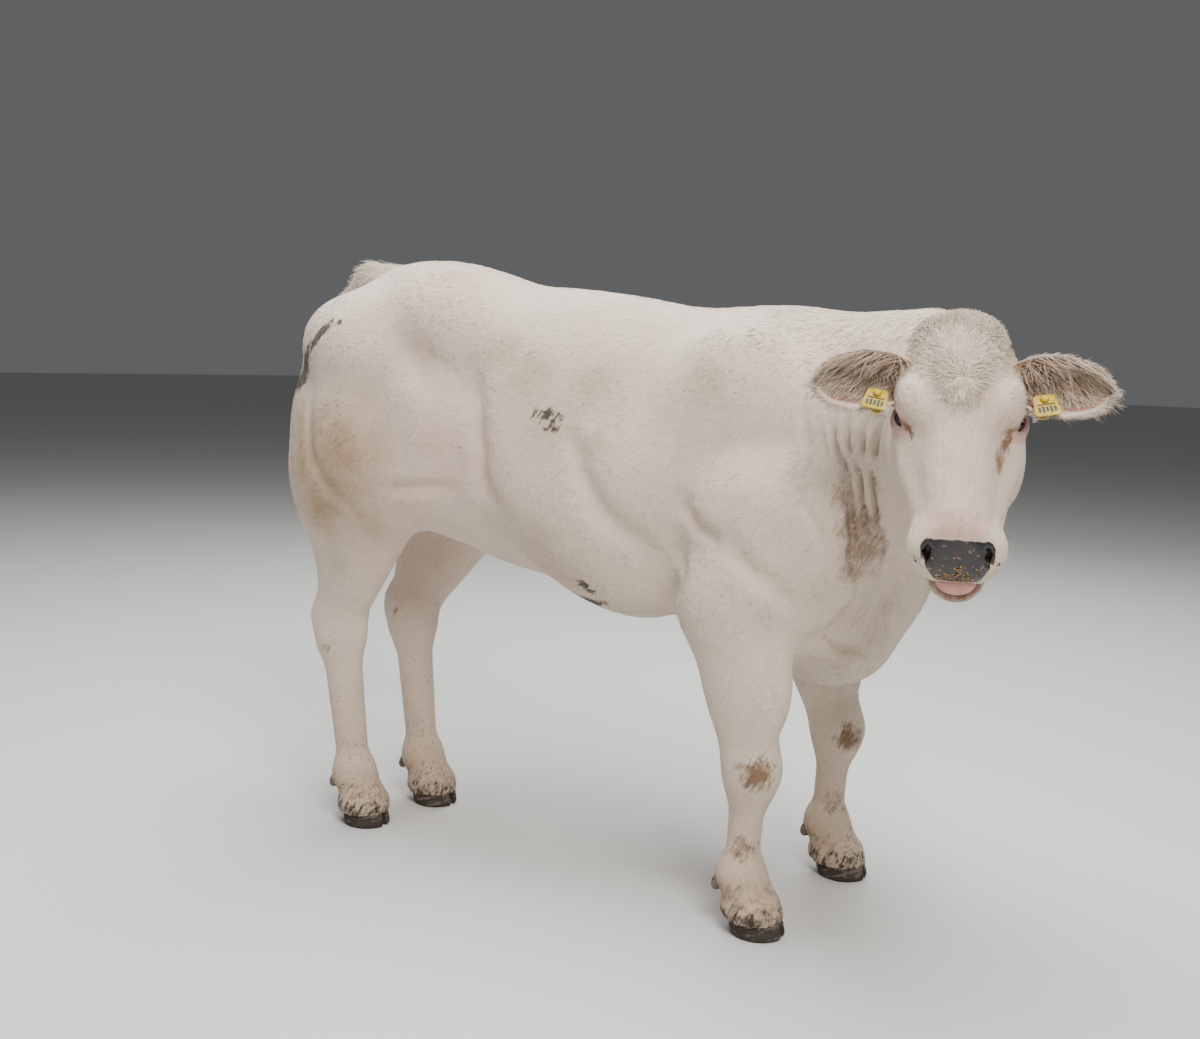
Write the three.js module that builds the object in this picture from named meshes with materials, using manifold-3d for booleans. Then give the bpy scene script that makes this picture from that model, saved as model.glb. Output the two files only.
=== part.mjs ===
// A white Belgian Blue heifer standing still, life size, with its head turned to its right.
// Millimetres, X forward, Y to the animal's left, Z up. The flesh is one smooth field of named
// muscles and bones, which is drawn as a surface, thinned out, and parted with thin cuts.
import * as THREE from 'three';
import Module from 'manifold-3d';

const wasm = await Module();
wasm.setup();

// Driving sizes
const withersHeight = 1234;
const hipHeight = 1345;
const thighHalfWidth = 300;
const headLength = 450;
const faceHalfWidth = 116;
const muzzleHalfWidth = 78;
const eyeRadius = 19;
const clawLength = 104;
const clawWidth = 50;
const coronetHeight = 54;
const earLength = 178;
const tagSize = [46, 44];
const gap = 0.3;

// Where each foot stands on the floor: forward, left
const feet = {
  fore_right: [448, -185],
  fore_left: [500, 200],
  hind_right: [-572, -118],
  hind_left: [-522, 92],
};

// The head's own frame: from the poll, X down the face to the muzzle, Z out of the forehead
const poll = [866, -318, 1214];
const faceHeading = -75;
const facePitch = -63;

// The head's joint with the neck and the neck's joint with the trunk: a point and the way forward
const throatCut = { at: [822, -205, 1060], facing: [0.80, -0.56, -0.16] };
const shoulderCut = { at: [640, -60, 960], facing: [0.88, -0.40, 0.26] };

// Heights where the legs part from the trunk, and where they part at knee and hock
const axillaHeight = 640;
const groinHeight = 770;
const kneeCutHeight = 365;
const hockCutHeight = 520;

const degrees = Math.PI / 180;

// Fields. Each form gives about the distance to its surface, below zero inside.
function turnMatrix([roll, pitch, yaw]) {
  const euler = new THREE.Euler(roll * degrees, pitch * degrees, yaw * degrees, 'ZYX');
  return new THREE.Matrix4().makeRotationFromEuler(euler).transpose().elements;
}

function belly(at, size, turn = [0, 0, 0], blend = 40) {
  const m = turnMatrix(turn);
  const [cx, cy, cz] = at;
  const [rx, ry, rz] = size;
  const reach = Math.max(rx, ry, rz);
  const distance = (x, y, z) => {
    const dx = x - cx, dy = y - cy, dz = z - cz;
    const px = (m[0] * dx + m[4] * dy + m[8] * dz) / rx;
    const py = (m[1] * dx + m[5] * dy + m[9] * dz) / ry;
    const pz = (m[2] * dx + m[6] * dy + m[10] * dz) / rz;
    const near = Math.sqrt(px * px + py * py + pz * pz);
    const slope = Math.sqrt((px / rx) ** 2 + (py / ry) ** 2 + (pz / rz) ** 2);
    return slope < 1e-9 ? -Math.min(rx, ry, rz) : near * (near - 1) / slope;
  };
  return { at, reach, blend, distance };
}

// A tapered rod with round ends, made `squeeze` times as wide across as it is deep
function bone(from, to, startRadius, endRadius, squeeze = 1, blend = 30) {
  const [ax, ay, az] = from;
  const bx = to[0] - ax, by = (to[1] - ay) / squeeze, bz = to[2] - az;
  const length2 = bx * bx + by * by + bz * bz;
  const at = from.map((v, i) => (v + to[i]) / 2);
  const reach = Math.hypot(to[0] - ax, to[1] - ay, to[2] - az) / 2 + Math.max(startRadius, endRadius);
  const distance = (x, y, z) => {
    const dx = x - ax, dy = (y - ay) / squeeze, dz = z - az;
    const t = Math.min(1, Math.max(0, (dx * bx + dy * by + dz * bz) / length2));
    const away = Math.hypot(dx - t * bx, dy - t * by, dz - t * bz);
    return (away - startRadius - t * (endRadius - startRadius)) * Math.min(1, squeeze);
  };
  return { at, reach, blend, distance };
}

const mirrored = ([x, y, z]) => [x, -y, z];
const mirroredTurn = ([roll, pitch, yaw]) => [-roll, pitch, -yaw];

function pair(at, size, turn, blend) {
  return [belly(at, size, turn, blend), belly(mirrored(at), size, mirroredTurn(turn), blend)];
}

function blended(a, b, width) {
  const h = Math.max(width - Math.abs(a - b), 0);
  return Math.min(a, b) - h * h / (4 * width);
}

function hollowed(a, b, width) {
  const h = Math.max(width - Math.abs(a + b), 0);
  return Math.max(a, -b) + h * h / (4 * width);
}

// A group of forms, evaluated only near it
function group(forms, hollows = []) {
  const box = new THREE.Box3();
  for (const f of forms) {
    box.expandByPoint(new THREE.Vector3(...f.at).addScalar(f.reach));
    box.expandByPoint(new THREE.Vector3(...f.at).addScalar(-f.reach));
  }
  const centre = box.getCenter(new THREE.Vector3());
  const reach = box.getSize(new THREE.Vector3()).length() / 2;
  const distance = (x, y, z) => {
    let d = Infinity;
    for (const f of forms) {
      const far = Math.hypot(x - f.at[0], y - f.at[1], z - f.at[2]) - f.reach;
      if (far > d + f.blend) continue;
      const next = f.distance(x, y, z);
      d = d === Infinity ? next : blended(d, next, f.blend);
    }
    if (d === Infinity) d = Math.hypot(x - centre.x, y - centre.y, z - centre.z) - reach;
    for (const f of hollows) {
      const far = Math.hypot(x - f.at[0], y - f.at[1], z - f.at[2]) - f.reach;
      if (far < f.blend) d = hollowed(d, f.distance(x, y, z), f.blend);
    }
    return d;
  };
  return { at: [centre.x, centre.y, centre.z], reach, distance };
}

// Trunk
const trunk = group([
  belly([-40, 0, 935], [580, 268, 318], [0, 4, 0], 60),
  belly([190, 0, 860], [380, 268, 290], [0, 2, 0], 60),
  bone([-500, 0, 1185], [400, 0, 1085], 128, 116, 1.3, 120),
  belly([-430, 0, 1190], [260, 190, hipHeight - 1184], [0, 5, 0], 70),
  ...pair([-335, 148, 1190], [160, 100, 108], [0, 14, 0], 90),
  ...pair([-540, 148, 1110], [215, 142, 150], [0, 20, 8], 60),
  ...pair([-545, thighHalfWidth - 140, 950], [175, 140, 240], [4, 12, 6], 24),
  ...pair([-672, 124, 960], [112, 112, 235], [2, 4, 0], 26),
  ...pair([-345, 168, 968], [160, 126, 178], [0, -22, -4], 24),
  ...pair([-300, 150, 840], [120, 90, 130], [0, -30, 0], 60),
  ...pair([20, 130, 805], [310, 148, 165], [0, 36, 0], 34),
  ...pair([365, 150, 985], [170, 104, 225], [-6, 14, 0], 50),
  ...pair([415, 172, 845], [140, 112, 135], [0, 10, 0], 26),
  ...pair([545, 140, 830], [105, 118, 150], [0, -18, 0], 34),
  ...pair([430, 195, 700], [110, 84, 88], [0, 14, 0], 24),
  belly([430, 0, 1085], [240, 105, withersHeight - 1085], [0, 4, 0], 90),
  belly([480, 0, 700], [220, 190, 210], [0, 0, 0], 80),
  belly([545, 0, 600], [140, 125, 130], [0, 20, 0], 60),
  belly([630, -20, 690], [80, 60, 110], [0, 25, 0], 60),
]);

const along = (from, to, t) => from.map((v, i) => v + t * (to[i] - v));

// Legs. Joints hang between the trunk and the foot.
function foreLeg([footX, footY]) {
  const side = Math.sign(footY);
  const hoof = [footX + 22, footY, coronetHeight];
  const fetlock = [footX - 10, footY, 112];
  const knee = [footX + 4, footY * 1.01, 325];
  const elbow = [405, side * 205, 640];
  const shoulder = [480, side * 175, 830];
  const mid = along(elbow, knee, 0.45);
  return group([
    bone(shoulder, elbow, 120, 98, 0.85, 60),
    bone(elbow, knee, 98, 54, 0.9, 40),
    belly([mid[0] + 30, mid[1] + side * 8, mid[2] + 10], [82, 62, 125], [0, -6, 0], 40),
    belly([knee[0] + 6, knee[1], knee[2]], [54, 52, 70], [0, 0, 0], 30),
    bone(knee, fetlock, 39, 35, 1, 40),
    belly(fetlock, [50, 49, 42], [0, 0, 0], 28),
    bone(fetlock, hoof, 40, 46, 1.18, 24),
    belly([hoof[0] - 8, hoof[1], hoof[2] - 12], [62, 56, 34], [0, 8, 0], 22),
  ]);
}

function hindLeg([footX, footY]) {
  const side = Math.sign(footY);
  const hoof = [footX + 22, footY, coronetHeight];
  const fetlock = [footX - 16, footY, 116];
  const hock = [footX - 64, footY * 1.06, 480];
  const stifle = [footX + 150, side * 210, 850];
  const ham = [footX - 60, side * 165, 820];
  return group([
    belly([footX + 125, side * 195, 860], [120, 82, 130], [0, 12, 0], 50),
    belly([footX - 20, side * 165, 800], [140, 92, 150], [0, 0, 0], 50),
    bone(stifle, hock, 104, 54, 0.78, 60),
    bone(ham, [hock[0] - 22, hock[1], hock[2] + 40], 96, 34, 0.8, 50),
    belly([hock[0] - 2, hock[1], hock[2] - 24], [68, 46, 80], [0, 6, 0], 34),
    belly([hock[0] - 50, hock[1], hock[2] + 12], [28, 29, 44], [0, 10, 0], 30),
    bone([hock[0] + 2, hock[1], hock[2] - 60], fetlock, 50, 40, 0.9, 40),
    belly(fetlock, [50, 49, 44], [0, 0, 0], 28),
    bone(fetlock, hoof, 40, 46, 1.18, 24),
    belly([hoof[0] - 8, hoof[1], hoof[2] - 12], [62, 56, 34], [0, 8, 0], 22),
  ]);
}

// Neck, a short thick arch that turns to the right
const neck = group([
  bone([420, 0, 1030], [660, -60, 1020], 190, 178, 0.9, 60),
  bone([660, -60, 1020], [800, -175, 1085], 178, 128, 0.92, 60),
  bone([520, 0, 1130], [770, -140, 1160], 92, 78, 1, 60),
  bone([600, -20, 830], [770, -150, 960], 165, 100, 0.85, 80),
  bone([640, -20, 720], [760, -130, 880], 100, 60, 0.7, 80),
]);

// Head, in its own frame
const headTurn = new THREE.Matrix4().makeRotationFromEuler(
  new THREE.Euler(0, -facePitch * degrees, faceHeading * degrees, 'ZYX'));
const headPlace = headTurn.clone().setPosition(...poll);
const intoHead = headPlace.clone().invert().elements;
const headPoint = (x, y, z) => new THREE.Vector3(x, y, z).applyMatrix4(headPlace).toArray();

const eyeAt = [168, 92, -60];
const muzzleEnd = headLength - 62;

const headForms = group([
  belly([95, 0, -88], [112, 98, 84], [0, 0, 0], 30),
  belly([102, 0, -52], [112, faceHalfWidth - 12, 50], [0, 5, 0], 34),
  belly([8, 0, -52], [38, 62, 48], [0, 0, 0], 44),
  ...pair([140, 84, -62], [56, 32, 40], [0, 0, -8], 24),
  ...pair([eyeAt[0] - 20, 74, -34], [42, 22, 22], [0, 8, -24], 18),
  bone([150, 0, -74], [muzzleEnd - 22, 0, -66], 66, 44, 1.14, 30),
  belly([300, 0, -108], [140, 80, 54], [0, 0, 0], 40),
  ...pair([236, 66, -108], [80, 28, 38], [0, 0, -8], 26),
  ...pair([194, 76, -140], [92, 40, 80], [0, 12, 0], 32),
  bone([130, 0, -190], [360, 0, -140], 60, 36, 1.25, 40),
  belly([muzzleEnd - 2, 0, -88], [50, muzzleHalfWidth, 46], [0, 16, 0], 26),
  ...pair([muzzleEnd + 4, 42, -90], [42, 35, 40], [0, 12, 0], 20),
  belly([muzzleEnd + 22, 0, -108], [34, 62, 22], [0, 10, 0], 22),
  belly([muzzleEnd + 10, 0, -148], [52, 55, 26], [0, -10, 0], 12),
]);

const head = {
  at: headPoint(headLength / 2, 0, -90),
  reach: headLength * 0.75,
  distance: (x, y, z) => headForms.distance(
    intoHead[0] * x + intoHead[4] * y + intoHead[8] * z + intoHead[12],
    intoHead[1] * x + intoHead[5] * y + intoHead[9] * z + intoHead[13],
    intoHead[2] * x + intoHead[6] * y + intoHead[10] * z + intoHead[14]),
};

const limbs = Object.entries(feet).map(([name, foot]) => (name.startsWith('fore') ? foreLeg(foot) : hindLeg(foot)));

const joins = [[neck, 70], [head, 50], ...limbs.map((limb) => [limb, 55])];

function flesh(x, y, z) {
  let d = trunk.distance(x, y, z);
  for (const [part, width] of joins) {
    const far = Math.hypot(x - part.at[0], y - part.at[1], z - part.at[2]) - part.reach;
    if (far > d + width) continue;
    d = blended(d, part.distance(x, y, z), width);
  }
  return d;
}

// The surface of a field inside a box. Each cube of a grid is taken as six tetrahedra about its long
// diagonal, and each tetrahedron that the surface crosses gives one triangle or two.
function surfaceIn(field, low, high, step) {
  const [nx, ny, nz] = low.map((v, i) => Math.ceil((high[i] - v) / step) + 1);
  const value = new Float32Array(nx * ny * nz);
  for (let k = 0; k < nz; k++) {
    for (let j = 0; j < ny; j++) {
      for (let i = 0; i < nx; i++) {
        const rim = !i || !j || !k || i === nx - 1 || j === ny - 1 || k === nz - 1;
        const d = field(low[0] + i * step, low[1] + j * step, low[2] + k * step);
        value[(k * ny + j) * nx + i] = rim ? Math.max(d, step * 0.5) : d;
      }
    }
  }
  const place = (n) => [
    low[0] + step * (n % nx),
    low[1] + step * (Math.floor(n / nx) % ny),
    low[2] + step * Math.floor(n / (nx * ny)),
  ];
  const points = [];
  const faces = [];
  const onEdge = new Map();
  const crossing = (a, b) => {
    const key = a < b ? a * value.length + b : b * value.length + a;
    if (!onEdge.has(key)) {
      const t = Math.min(0.82, Math.max(0.18, value[a] / (value[a] - value[b])));
      const pa = place(a), pb = place(b);
      onEdge.set(key, points.length);
      points.push(pa.map((v, c) => v + t * (pb[c] - v)));
    }
    return onEdge.get(key);
  };
  const step3 = [1, nx, nx * ny];
  const orders = [[0, 1, 2], [1, 2, 0], [2, 0, 1], [0, 2, 1], [2, 1, 0], [1, 0, 2]];
  for (let k = 0; k < nz - 1; k++) {
    for (let j = 0; j < ny - 1; j++) {
      for (let i = 0; i < nx - 1; i++) {
        const corner = (k * ny + j) * nx + i;
        orders.forEach((order, o) => {
          const tet = [corner];
          for (const axis of order) tet.push(tet[tet.length - 1] + step3[axis]);
          if (o > 2) [tet[2], tet[3]] = [tet[3], tet[2]];
          const inside = tet.map((n) => value[n] < 0);
          const count = inside.filter(Boolean).length;
          if (count === 0 || count === 4) return;
          if (count === 2) {
            const [p, q, r, s] = evenOrder(inside);
            const ring = [[p, r], [p, s], [q, s], [q, r]].map(([m, n]) => crossing(tet[m], tet[n]));
            faces.push([ring[0], ring[1], ring[2]], [ring[0], ring[2], ring[3]]);
            return;
          }
          const alone = inside.indexOf(count === 1);
          const others = [[1, 2, 3], [0, 3, 2], [0, 1, 3], [0, 2, 1]][alone];
          const tri = others.map((n) => crossing(tet[alone], tet[n]));
          faces.push(count === 1 ? tri : tri.reverse());
        });
      }
    }
  }
  return { points: points.map((p) => ontoSurface(field, p, step)), faces };
}

// The two inside corners and then the two outside ones, in an order that keeps the handedness
function evenOrder(inside) {
  const p = inside.indexOf(true);
  const q = inside.lastIndexOf(true);
  const [r, s] = [0, 1, 2, 3].filter((n) => !inside[n]);
  const turns = [p, q, r, s].reduce((sum, v, n, list) => sum + list.slice(n + 1).filter((w) => w < v).length, 0);
  return turns % 2 ? [p, q, s, r] : [p, q, r, s];
}

function ontoSurface(field, p, step) {
  const e = 0.5;
  let q = p;
  for (let turn = 0; turn < 2; turn++) {
    const d = field(...q);
    const g = [0, 1, 2].map((c) => {
      const forward = [...q];
      forward[c] += e;
      return (field(...forward) - d) / e;
    });
    const slope = g[0] * g[0] + g[1] * g[1] + g[2] * g[2];
    if (slope < 0.01) break;
    const limit = 0.4 * step;
    const move = g.map((v) => Math.max(-limit, Math.min(limit, d * v / slope)));
    q = q.map((v, c) => v - move[c]);
  }
  return q.map((v, c) => Math.max(p[c] - step * 0.45, Math.min(p[c] + step * 0.45, v)));
}

// Thins a closed mesh to about `wanted` faces. Each step closes the edge whose merging moves the
// surface least, and skips a merging that would fold the surface or pinch it.
function thinned({ points, faces }, wanted) {
  const quadrics = points.map(() => new Float64Array(10));
  const around = points.map(() => new Set());
  const plane = ([a, b, c]) => {
    const u = points[b].map((v, k) => v - points[a][k]);
    const w = points[c].map((v, k) => v - points[a][k]);
    const n = [u[1] * w[2] - u[2] * w[1], u[2] * w[0] - u[0] * w[2], u[0] * w[1] - u[1] * w[0]];
    const size = Math.hypot(...n) || 1e-12;
    return [n[0] / size, n[1] / size, n[2] / size, size];
  };
  faces.forEach((face, f) => {
    const [nx, ny, nz, size] = plane(face);
    const off = -(nx * points[face[0]][0] + ny * points[face[0]][1] + nz * points[face[0]][2]);
    const q = [nx * nx, nx * ny, nx * nz, nx * off, ny * ny, ny * nz, ny * off, nz * nz, nz * off, off * off];
    for (const v of face) {
      around[v].add(f);
      q.forEach((value, k) => { quadrics[v][k] += value * size; });
    }
  });
  const cost = (q, [x, y, z]) => q[0] * x * x + 2 * q[1] * x * y + 2 * q[2] * x * z + 2 * q[3] * x
    + q[4] * y * y + 2 * q[5] * y * z + 2 * q[6] * y + q[7] * z * z + 2 * q[8] * z + q[9];
  const stamp = new Int32Array(points.length);
  const heap = [];
  const up = (i) => {
    while (i > 0) {
      const parent = (i - 1) >> 1;
      if (heap[parent].cost <= heap[i].cost) break;
      [heap[parent], heap[i]] = [heap[i], heap[parent]];
      i = parent;
    }
  };
  const down = (i) => {
    for (;;) {
      let least = i;
      for (const child of [2 * i + 1, 2 * i + 2]) {
        if (child < heap.length && heap[child].cost < heap[least].cost) least = child;
      }
      if (least === i) return;
      [heap[least], heap[i]] = [heap[i], heap[least]];
      i = least;
    }
  };
  const consider = (a, b) => {
    const q = quadrics[a].map((v, k) => v + quadrics[b][k]);
    const middle = points[a].map((v, k) => (v + points[b][k]) / 2);
    const choices = [middle, points[a], points[b]];
    const det = q[0] * (q[4] * q[7] - q[5] * q[5]) - q[1] * (q[1] * q[7] - q[5] * q[2])
      + q[2] * (q[1] * q[5] - q[4] * q[2]);
    if (Math.abs(det) > 1e-3 * (q[0] + q[4] + q[7]) ** 3) {
      const best = [
        (-q[3] * (q[4] * q[7] - q[5] * q[5]) + q[1] * (q[6] * q[7] - q[5] * q[8])
          - q[2] * (q[6] * q[5] - q[4] * q[8])) / det,
        (q[0] * (-q[6] * q[7] + q[8] * q[5]) + q[3] * (q[1] * q[7] - q[5] * q[2])
          + q[2] * (-q[1] * q[8] + q[6] * q[2])) / det,
        (q[0] * (-q[4] * q[8] + q[5] * q[6]) - q[1] * (-q[1] * q[8] + q[2] * q[6])
          - q[3] * (q[1] * q[5] - q[4] * q[2])) / det,
      ];
      const near = Math.hypot(...best.map((v, k) => v - middle[k]));
      if (near < 2 * Math.hypot(...points[a].map((v, k) => v - points[b][k]))) choices.push(best);
    }
    let place = choices[0], least = Infinity;
    for (const choice of choices) {
      const c = cost(q, choice);
      if (c < least) [least, place] = [c, choice];
    }
    const length = Math.hypot(...points[a].map((v, k) => v - points[b][k]));
    heap.push({ cost: Math.max(least, 0) + 1e-3 * length ** 4, a, b, place, sa: stamp[a], sb: stamp[b] });
    up(heap.length - 1);
  };
  const neighbours = (v) => {
    const found = new Set();
    for (const f of around[v]) for (const w of faces[f]) if (w !== v) found.add(w);
    return found;
  };
  points.forEach((_, v) => { for (const w of neighbours(v)) if (w > v) consider(v, w); });
  let left = faces.length;
  const dead = new Uint8Array(points.length);
  while (left > wanted && heap.length) {
    const top = heap[0];
    const last = heap.pop();
    if (heap.length) {
      heap[0] = last;
      down(0);
    }
    const { a, b, place } = top;
    if (dead[a] || dead[b] || stamp[a] !== top.sa || stamp[b] !== top.sb) continue;
    const shared = [...around[a]].filter((f) => around[b].has(f));
    const beside = neighbours(a);
    const common = [...neighbours(b)].filter((v) => beside.has(v));
    if (shared.length !== 2 || common.length !== 2) continue;
    const folds = [a, b].some((end) => [...around[end]].some((f) => {
      if (shared.includes(f)) return false;
      const before = plane(faces[f]);
      const kept = points[end];
      points[end] = place;
      const after = plane(faces[f]);
      points[end] = kept;
      const agree = before[0] * after[0] + before[1] * after[1] + before[2] * after[2];
      return agree < 0.35 || after[3] < 1e-3 * before[3];
    }));
    if (folds) continue;
    points[a] = place;
    quadrics[b].forEach((v, k) => { quadrics[a][k] += v; });
    for (const f of shared) {
      for (const v of faces[f]) around[v].delete(f);
      faces[f] = null;
    }
    for (const f of around[b]) {
      faces[f] = faces[f].map((v) => (v === b ? a : v));
      around[a].add(f);
    }
    dead[b] = 1;
    left -= 2;
    stamp[a]++;
    for (const w of neighbours(a)) consider(a, w);
  }
  const index = new Map();
  const kept = [];
  const keptFaces = faces.filter(Boolean).map((face) => face.map((v) => {
    if (!index.has(v)) {
      index.set(v, kept.length);
      kept.push(points[v]);
    }
    return index.get(v);
  }));
  return { points: kept, faces: keptFaces };
}

// Solids
function solidFrom({ points, faces }) {
  return new wasm.Manifold(new wasm.Mesh({
    numProp: 3,
    vertProperties: new Float32Array(points.flat()),
    triVerts: new Uint32Array(faces.flat()),
  }));
}

function largest(solid) {
  return solid.decompose().reduce((best, part) => (part.volume() > best.volume() ? part : best));
}

// Everything ahead of a plane, as a big box with one face on it
function aheadOf({ at, facing }, shift = 0) {
  const size = 4000;
  const forward = new THREE.Vector3(...facing).normalize();
  const place = new THREE.Matrix4().lookAt(forward, new THREE.Vector3(), new THREE.Vector3(0, 0.1, 1));
  const centre = new THREE.Vector3(...at).addScaledVector(forward, size / 2 + shift);
  const box = new THREE.BoxGeometry(size, size, size).applyMatrix4(place.setPosition(centre));
  return solidOfGeometry(box);
}

function solidOfGeometry(geometry) {
  const position = geometry.getAttribute('position');
  const order = geometry.index ? [...geometry.index.array] : [...Array(position.count).keys()];
  const seen = new Map();
  const points = [];
  const number = order.map((i) => {
    const p = [position.getX(i), position.getY(i), position.getZ(i)];
    const key = p.map((v) => Math.round(v * 1e3)).join();
    if (!seen.has(key)) {
      seen.set(key, points.length);
      points.push(p);
    }
    return seen.get(key);
  });
  const faces = [];
  for (let i = 0; i < number.length; i += 3) {
    const face = number.slice(i, i + 3);
    if (new Set(face).size === 3) faces.push(face);
  }
  return solidFrom({ points, faces });
}

// The same solid a little larger all over, each vertex moved out along its mean normal
function swollen(solid, by = 1.6 * gap) {
  const { vertProperties: p, triVerts: t } = solid.getMesh();
  const geometry = new THREE.BufferGeometry();
  geometry.setAttribute('position', new THREE.BufferAttribute(p.slice(), 3));
  geometry.setIndex([...t]);
  geometry.computeVertexNormals();
  const normal = geometry.getAttribute('normal').array;
  const points = [];
  for (let i = 0; i < p.length; i += 3) points.push([0, 1, 2].map((c) => p[i + c] + by * normal[i + c]));
  const faces = [];
  for (let i = 0; i < t.length; i += 3) faces.push([t[i], t[i + 1], t[i + 2]]);
  return solidFrom({ points, faces });
}

const behind = ({ at, facing }, shift = 0) => aheadOf({ at, facing: facing.map((v) => -v) }, shift);

function piece(low, high, step, wanted) {
  return solidFrom(thinned(surfaceIn(flesh, low, high, step), wanted));
}

const half = gap / 2;
const legCut = (height) => ({ at: [0, 0, height], facing: [0, 0, 1] });

const solids = {};

// Trunk, neck and head from one field, parted by planes
let trunkSolid = piece([-860, -380, 380], [860, 380, 1400], 26, 3100);
trunkSolid = trunkSolid.intersect(behind(shoulderCut, half));
const limbCuts = {};
for (const name of Object.keys(feet)) {
  const fore = name.startsWith('fore');
  const out = name.endsWith('right') ? -1 : 1;
  limbCuts[name] = [
    { at: [0, 0, fore ? axillaHeight : groinHeight], facing: [0, 0, -1] },
    { at: [0, out * (fore ? 92 : 4), 0], facing: [0, out, 0] },
    { at: [fore ? 250 : -250, 0, 0], facing: [fore ? 1 : -1, 0, 0] },
  ];
}
const within = (solid, planes, shift) => planes.reduce((s, plane) => s.intersect(aheadOf(plane, shift)), solid);
for (const planes of Object.values(limbCuts)) {
  const region = within(aheadOf(planes[0], -half), planes.slice(1), -half);
  trunkSolid = trunkSolid.subtract(region);
}
solids.torso = largest(trunkSolid);

const neckWhole = piece([380, -420, 480], [1020, 260, 1400], 22, 1200);
let neckSolid = neckWhole.intersect(aheadOf(shoulderCut, half)).intersect(behind(throatCut, half));
for (const planes of Object.values(limbCuts)) {
  neckSolid = neckSolid.subtract(within(aheadOf(planes[0], -half), planes.slice(1), -half));
}
solids.neck = largest(neckSolid);

// Round forms of the face, made whole in the head's frame
function egg([rx, ry, rz], at, turn = [0, 0, 0], across = 14, round = 8) {
  const euler = new THREE.Euler(...turn.map((v) => v * degrees), 'ZYX');
  const geometry = new THREE.SphereGeometry(1, across, round).scale(rx, ry, rz);
  geometry.applyMatrix4(new THREE.Matrix4().makeRotationFromEuler(euler).setPosition(...at));
  return geometry;
}

const inHead = (geometry) => solidOfGeometry(geometry.applyMatrix4(headPlace));
const grown = (size, by = gap) => size.map((v) => v + by);

const headWhole = piece([660, -640, 640], [1080, -60, 1290], 9, 2100);
const besideHead = swollen(headWhole).add(swollen(neckWhole));
let headSolid = headWhole.intersect(aheadOf(throatCut, half));

// Eyes: a ball under two lids that leave a slanting opening
for (const [name, side] of [['right', -1], ['left', 1]]) {
  const at = [eyeAt[0], side * eyeAt[1], eyeAt[2]];
  const ball = [eyeRadius, eyeRadius, eyeRadius];
  const opening = [at[0] + 2, at[1] + side * 9, at[2] + 9];
  const lidTurn = [side * -45, 0, side * -23];
  headSolid = headSolid.add(inHead(egg(grown(ball, 4.5), at)));
  headSolid = headSolid.subtract(inHead(egg([17, 7, 26], opening, lidTurn, 14, 8)));
  headSolid = headSolid.subtract(inHead(egg(grown(ball), at)));
  solids[`eye_${name}`] = inHead(egg(ball, at));
}

// Nostrils: a round hole that runs out to the side as a narrowing cleft
for (const side of [-1, 1]) {
  const hole = egg([15, 9, 12], [muzzleEnd + 30, side * 46, -66], [0, 30, side * 20], 12, 8);
  const cleft = egg([14, 11, 4.5], [muzzleEnd + 30, side * 58, -80], [side * -30, 20, side * 34], 10, 8);
  headSolid = headSolid.subtract(inHead(hole)).subtract(inHead(cleft));
}

// The line of the mouth, and the tongue that fills its front
const mouthAt = [muzzleEnd + 14, 0, -128];
const mouthCore = inHead(egg([52, muzzleHalfWidth - 14, 40], [mouthAt[0] - 14, 0, mouthAt[2]], [0, 0, 0], 14, 8));
const mouthSlot = inHead(egg([84, muzzleHalfWidth + 6, 3.6], mouthAt, [0, 6, 0], 20, 6));
headSolid = headSolid.subtract(mouthSlot.subtract(mouthCore));
const tongueSize = [30, 31, 11];
const tongueAt = [mouthAt[0] + 26, 0, mouthAt[2] + 1];
headSolid = headSolid.subtract(inHead(egg(grown(tongueSize), tongueAt, [0, 8, 0])));
solids.tongue = inHead(egg(tongueSize, tongueAt, [0, 8, 0]));

// Ears: a leaf-shaped cup with a rim, thin at the tip, fixed to the side of the poll
const earRoot = [92, 84, -62];
const earRows = 8;
const earColumns = 8;

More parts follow.
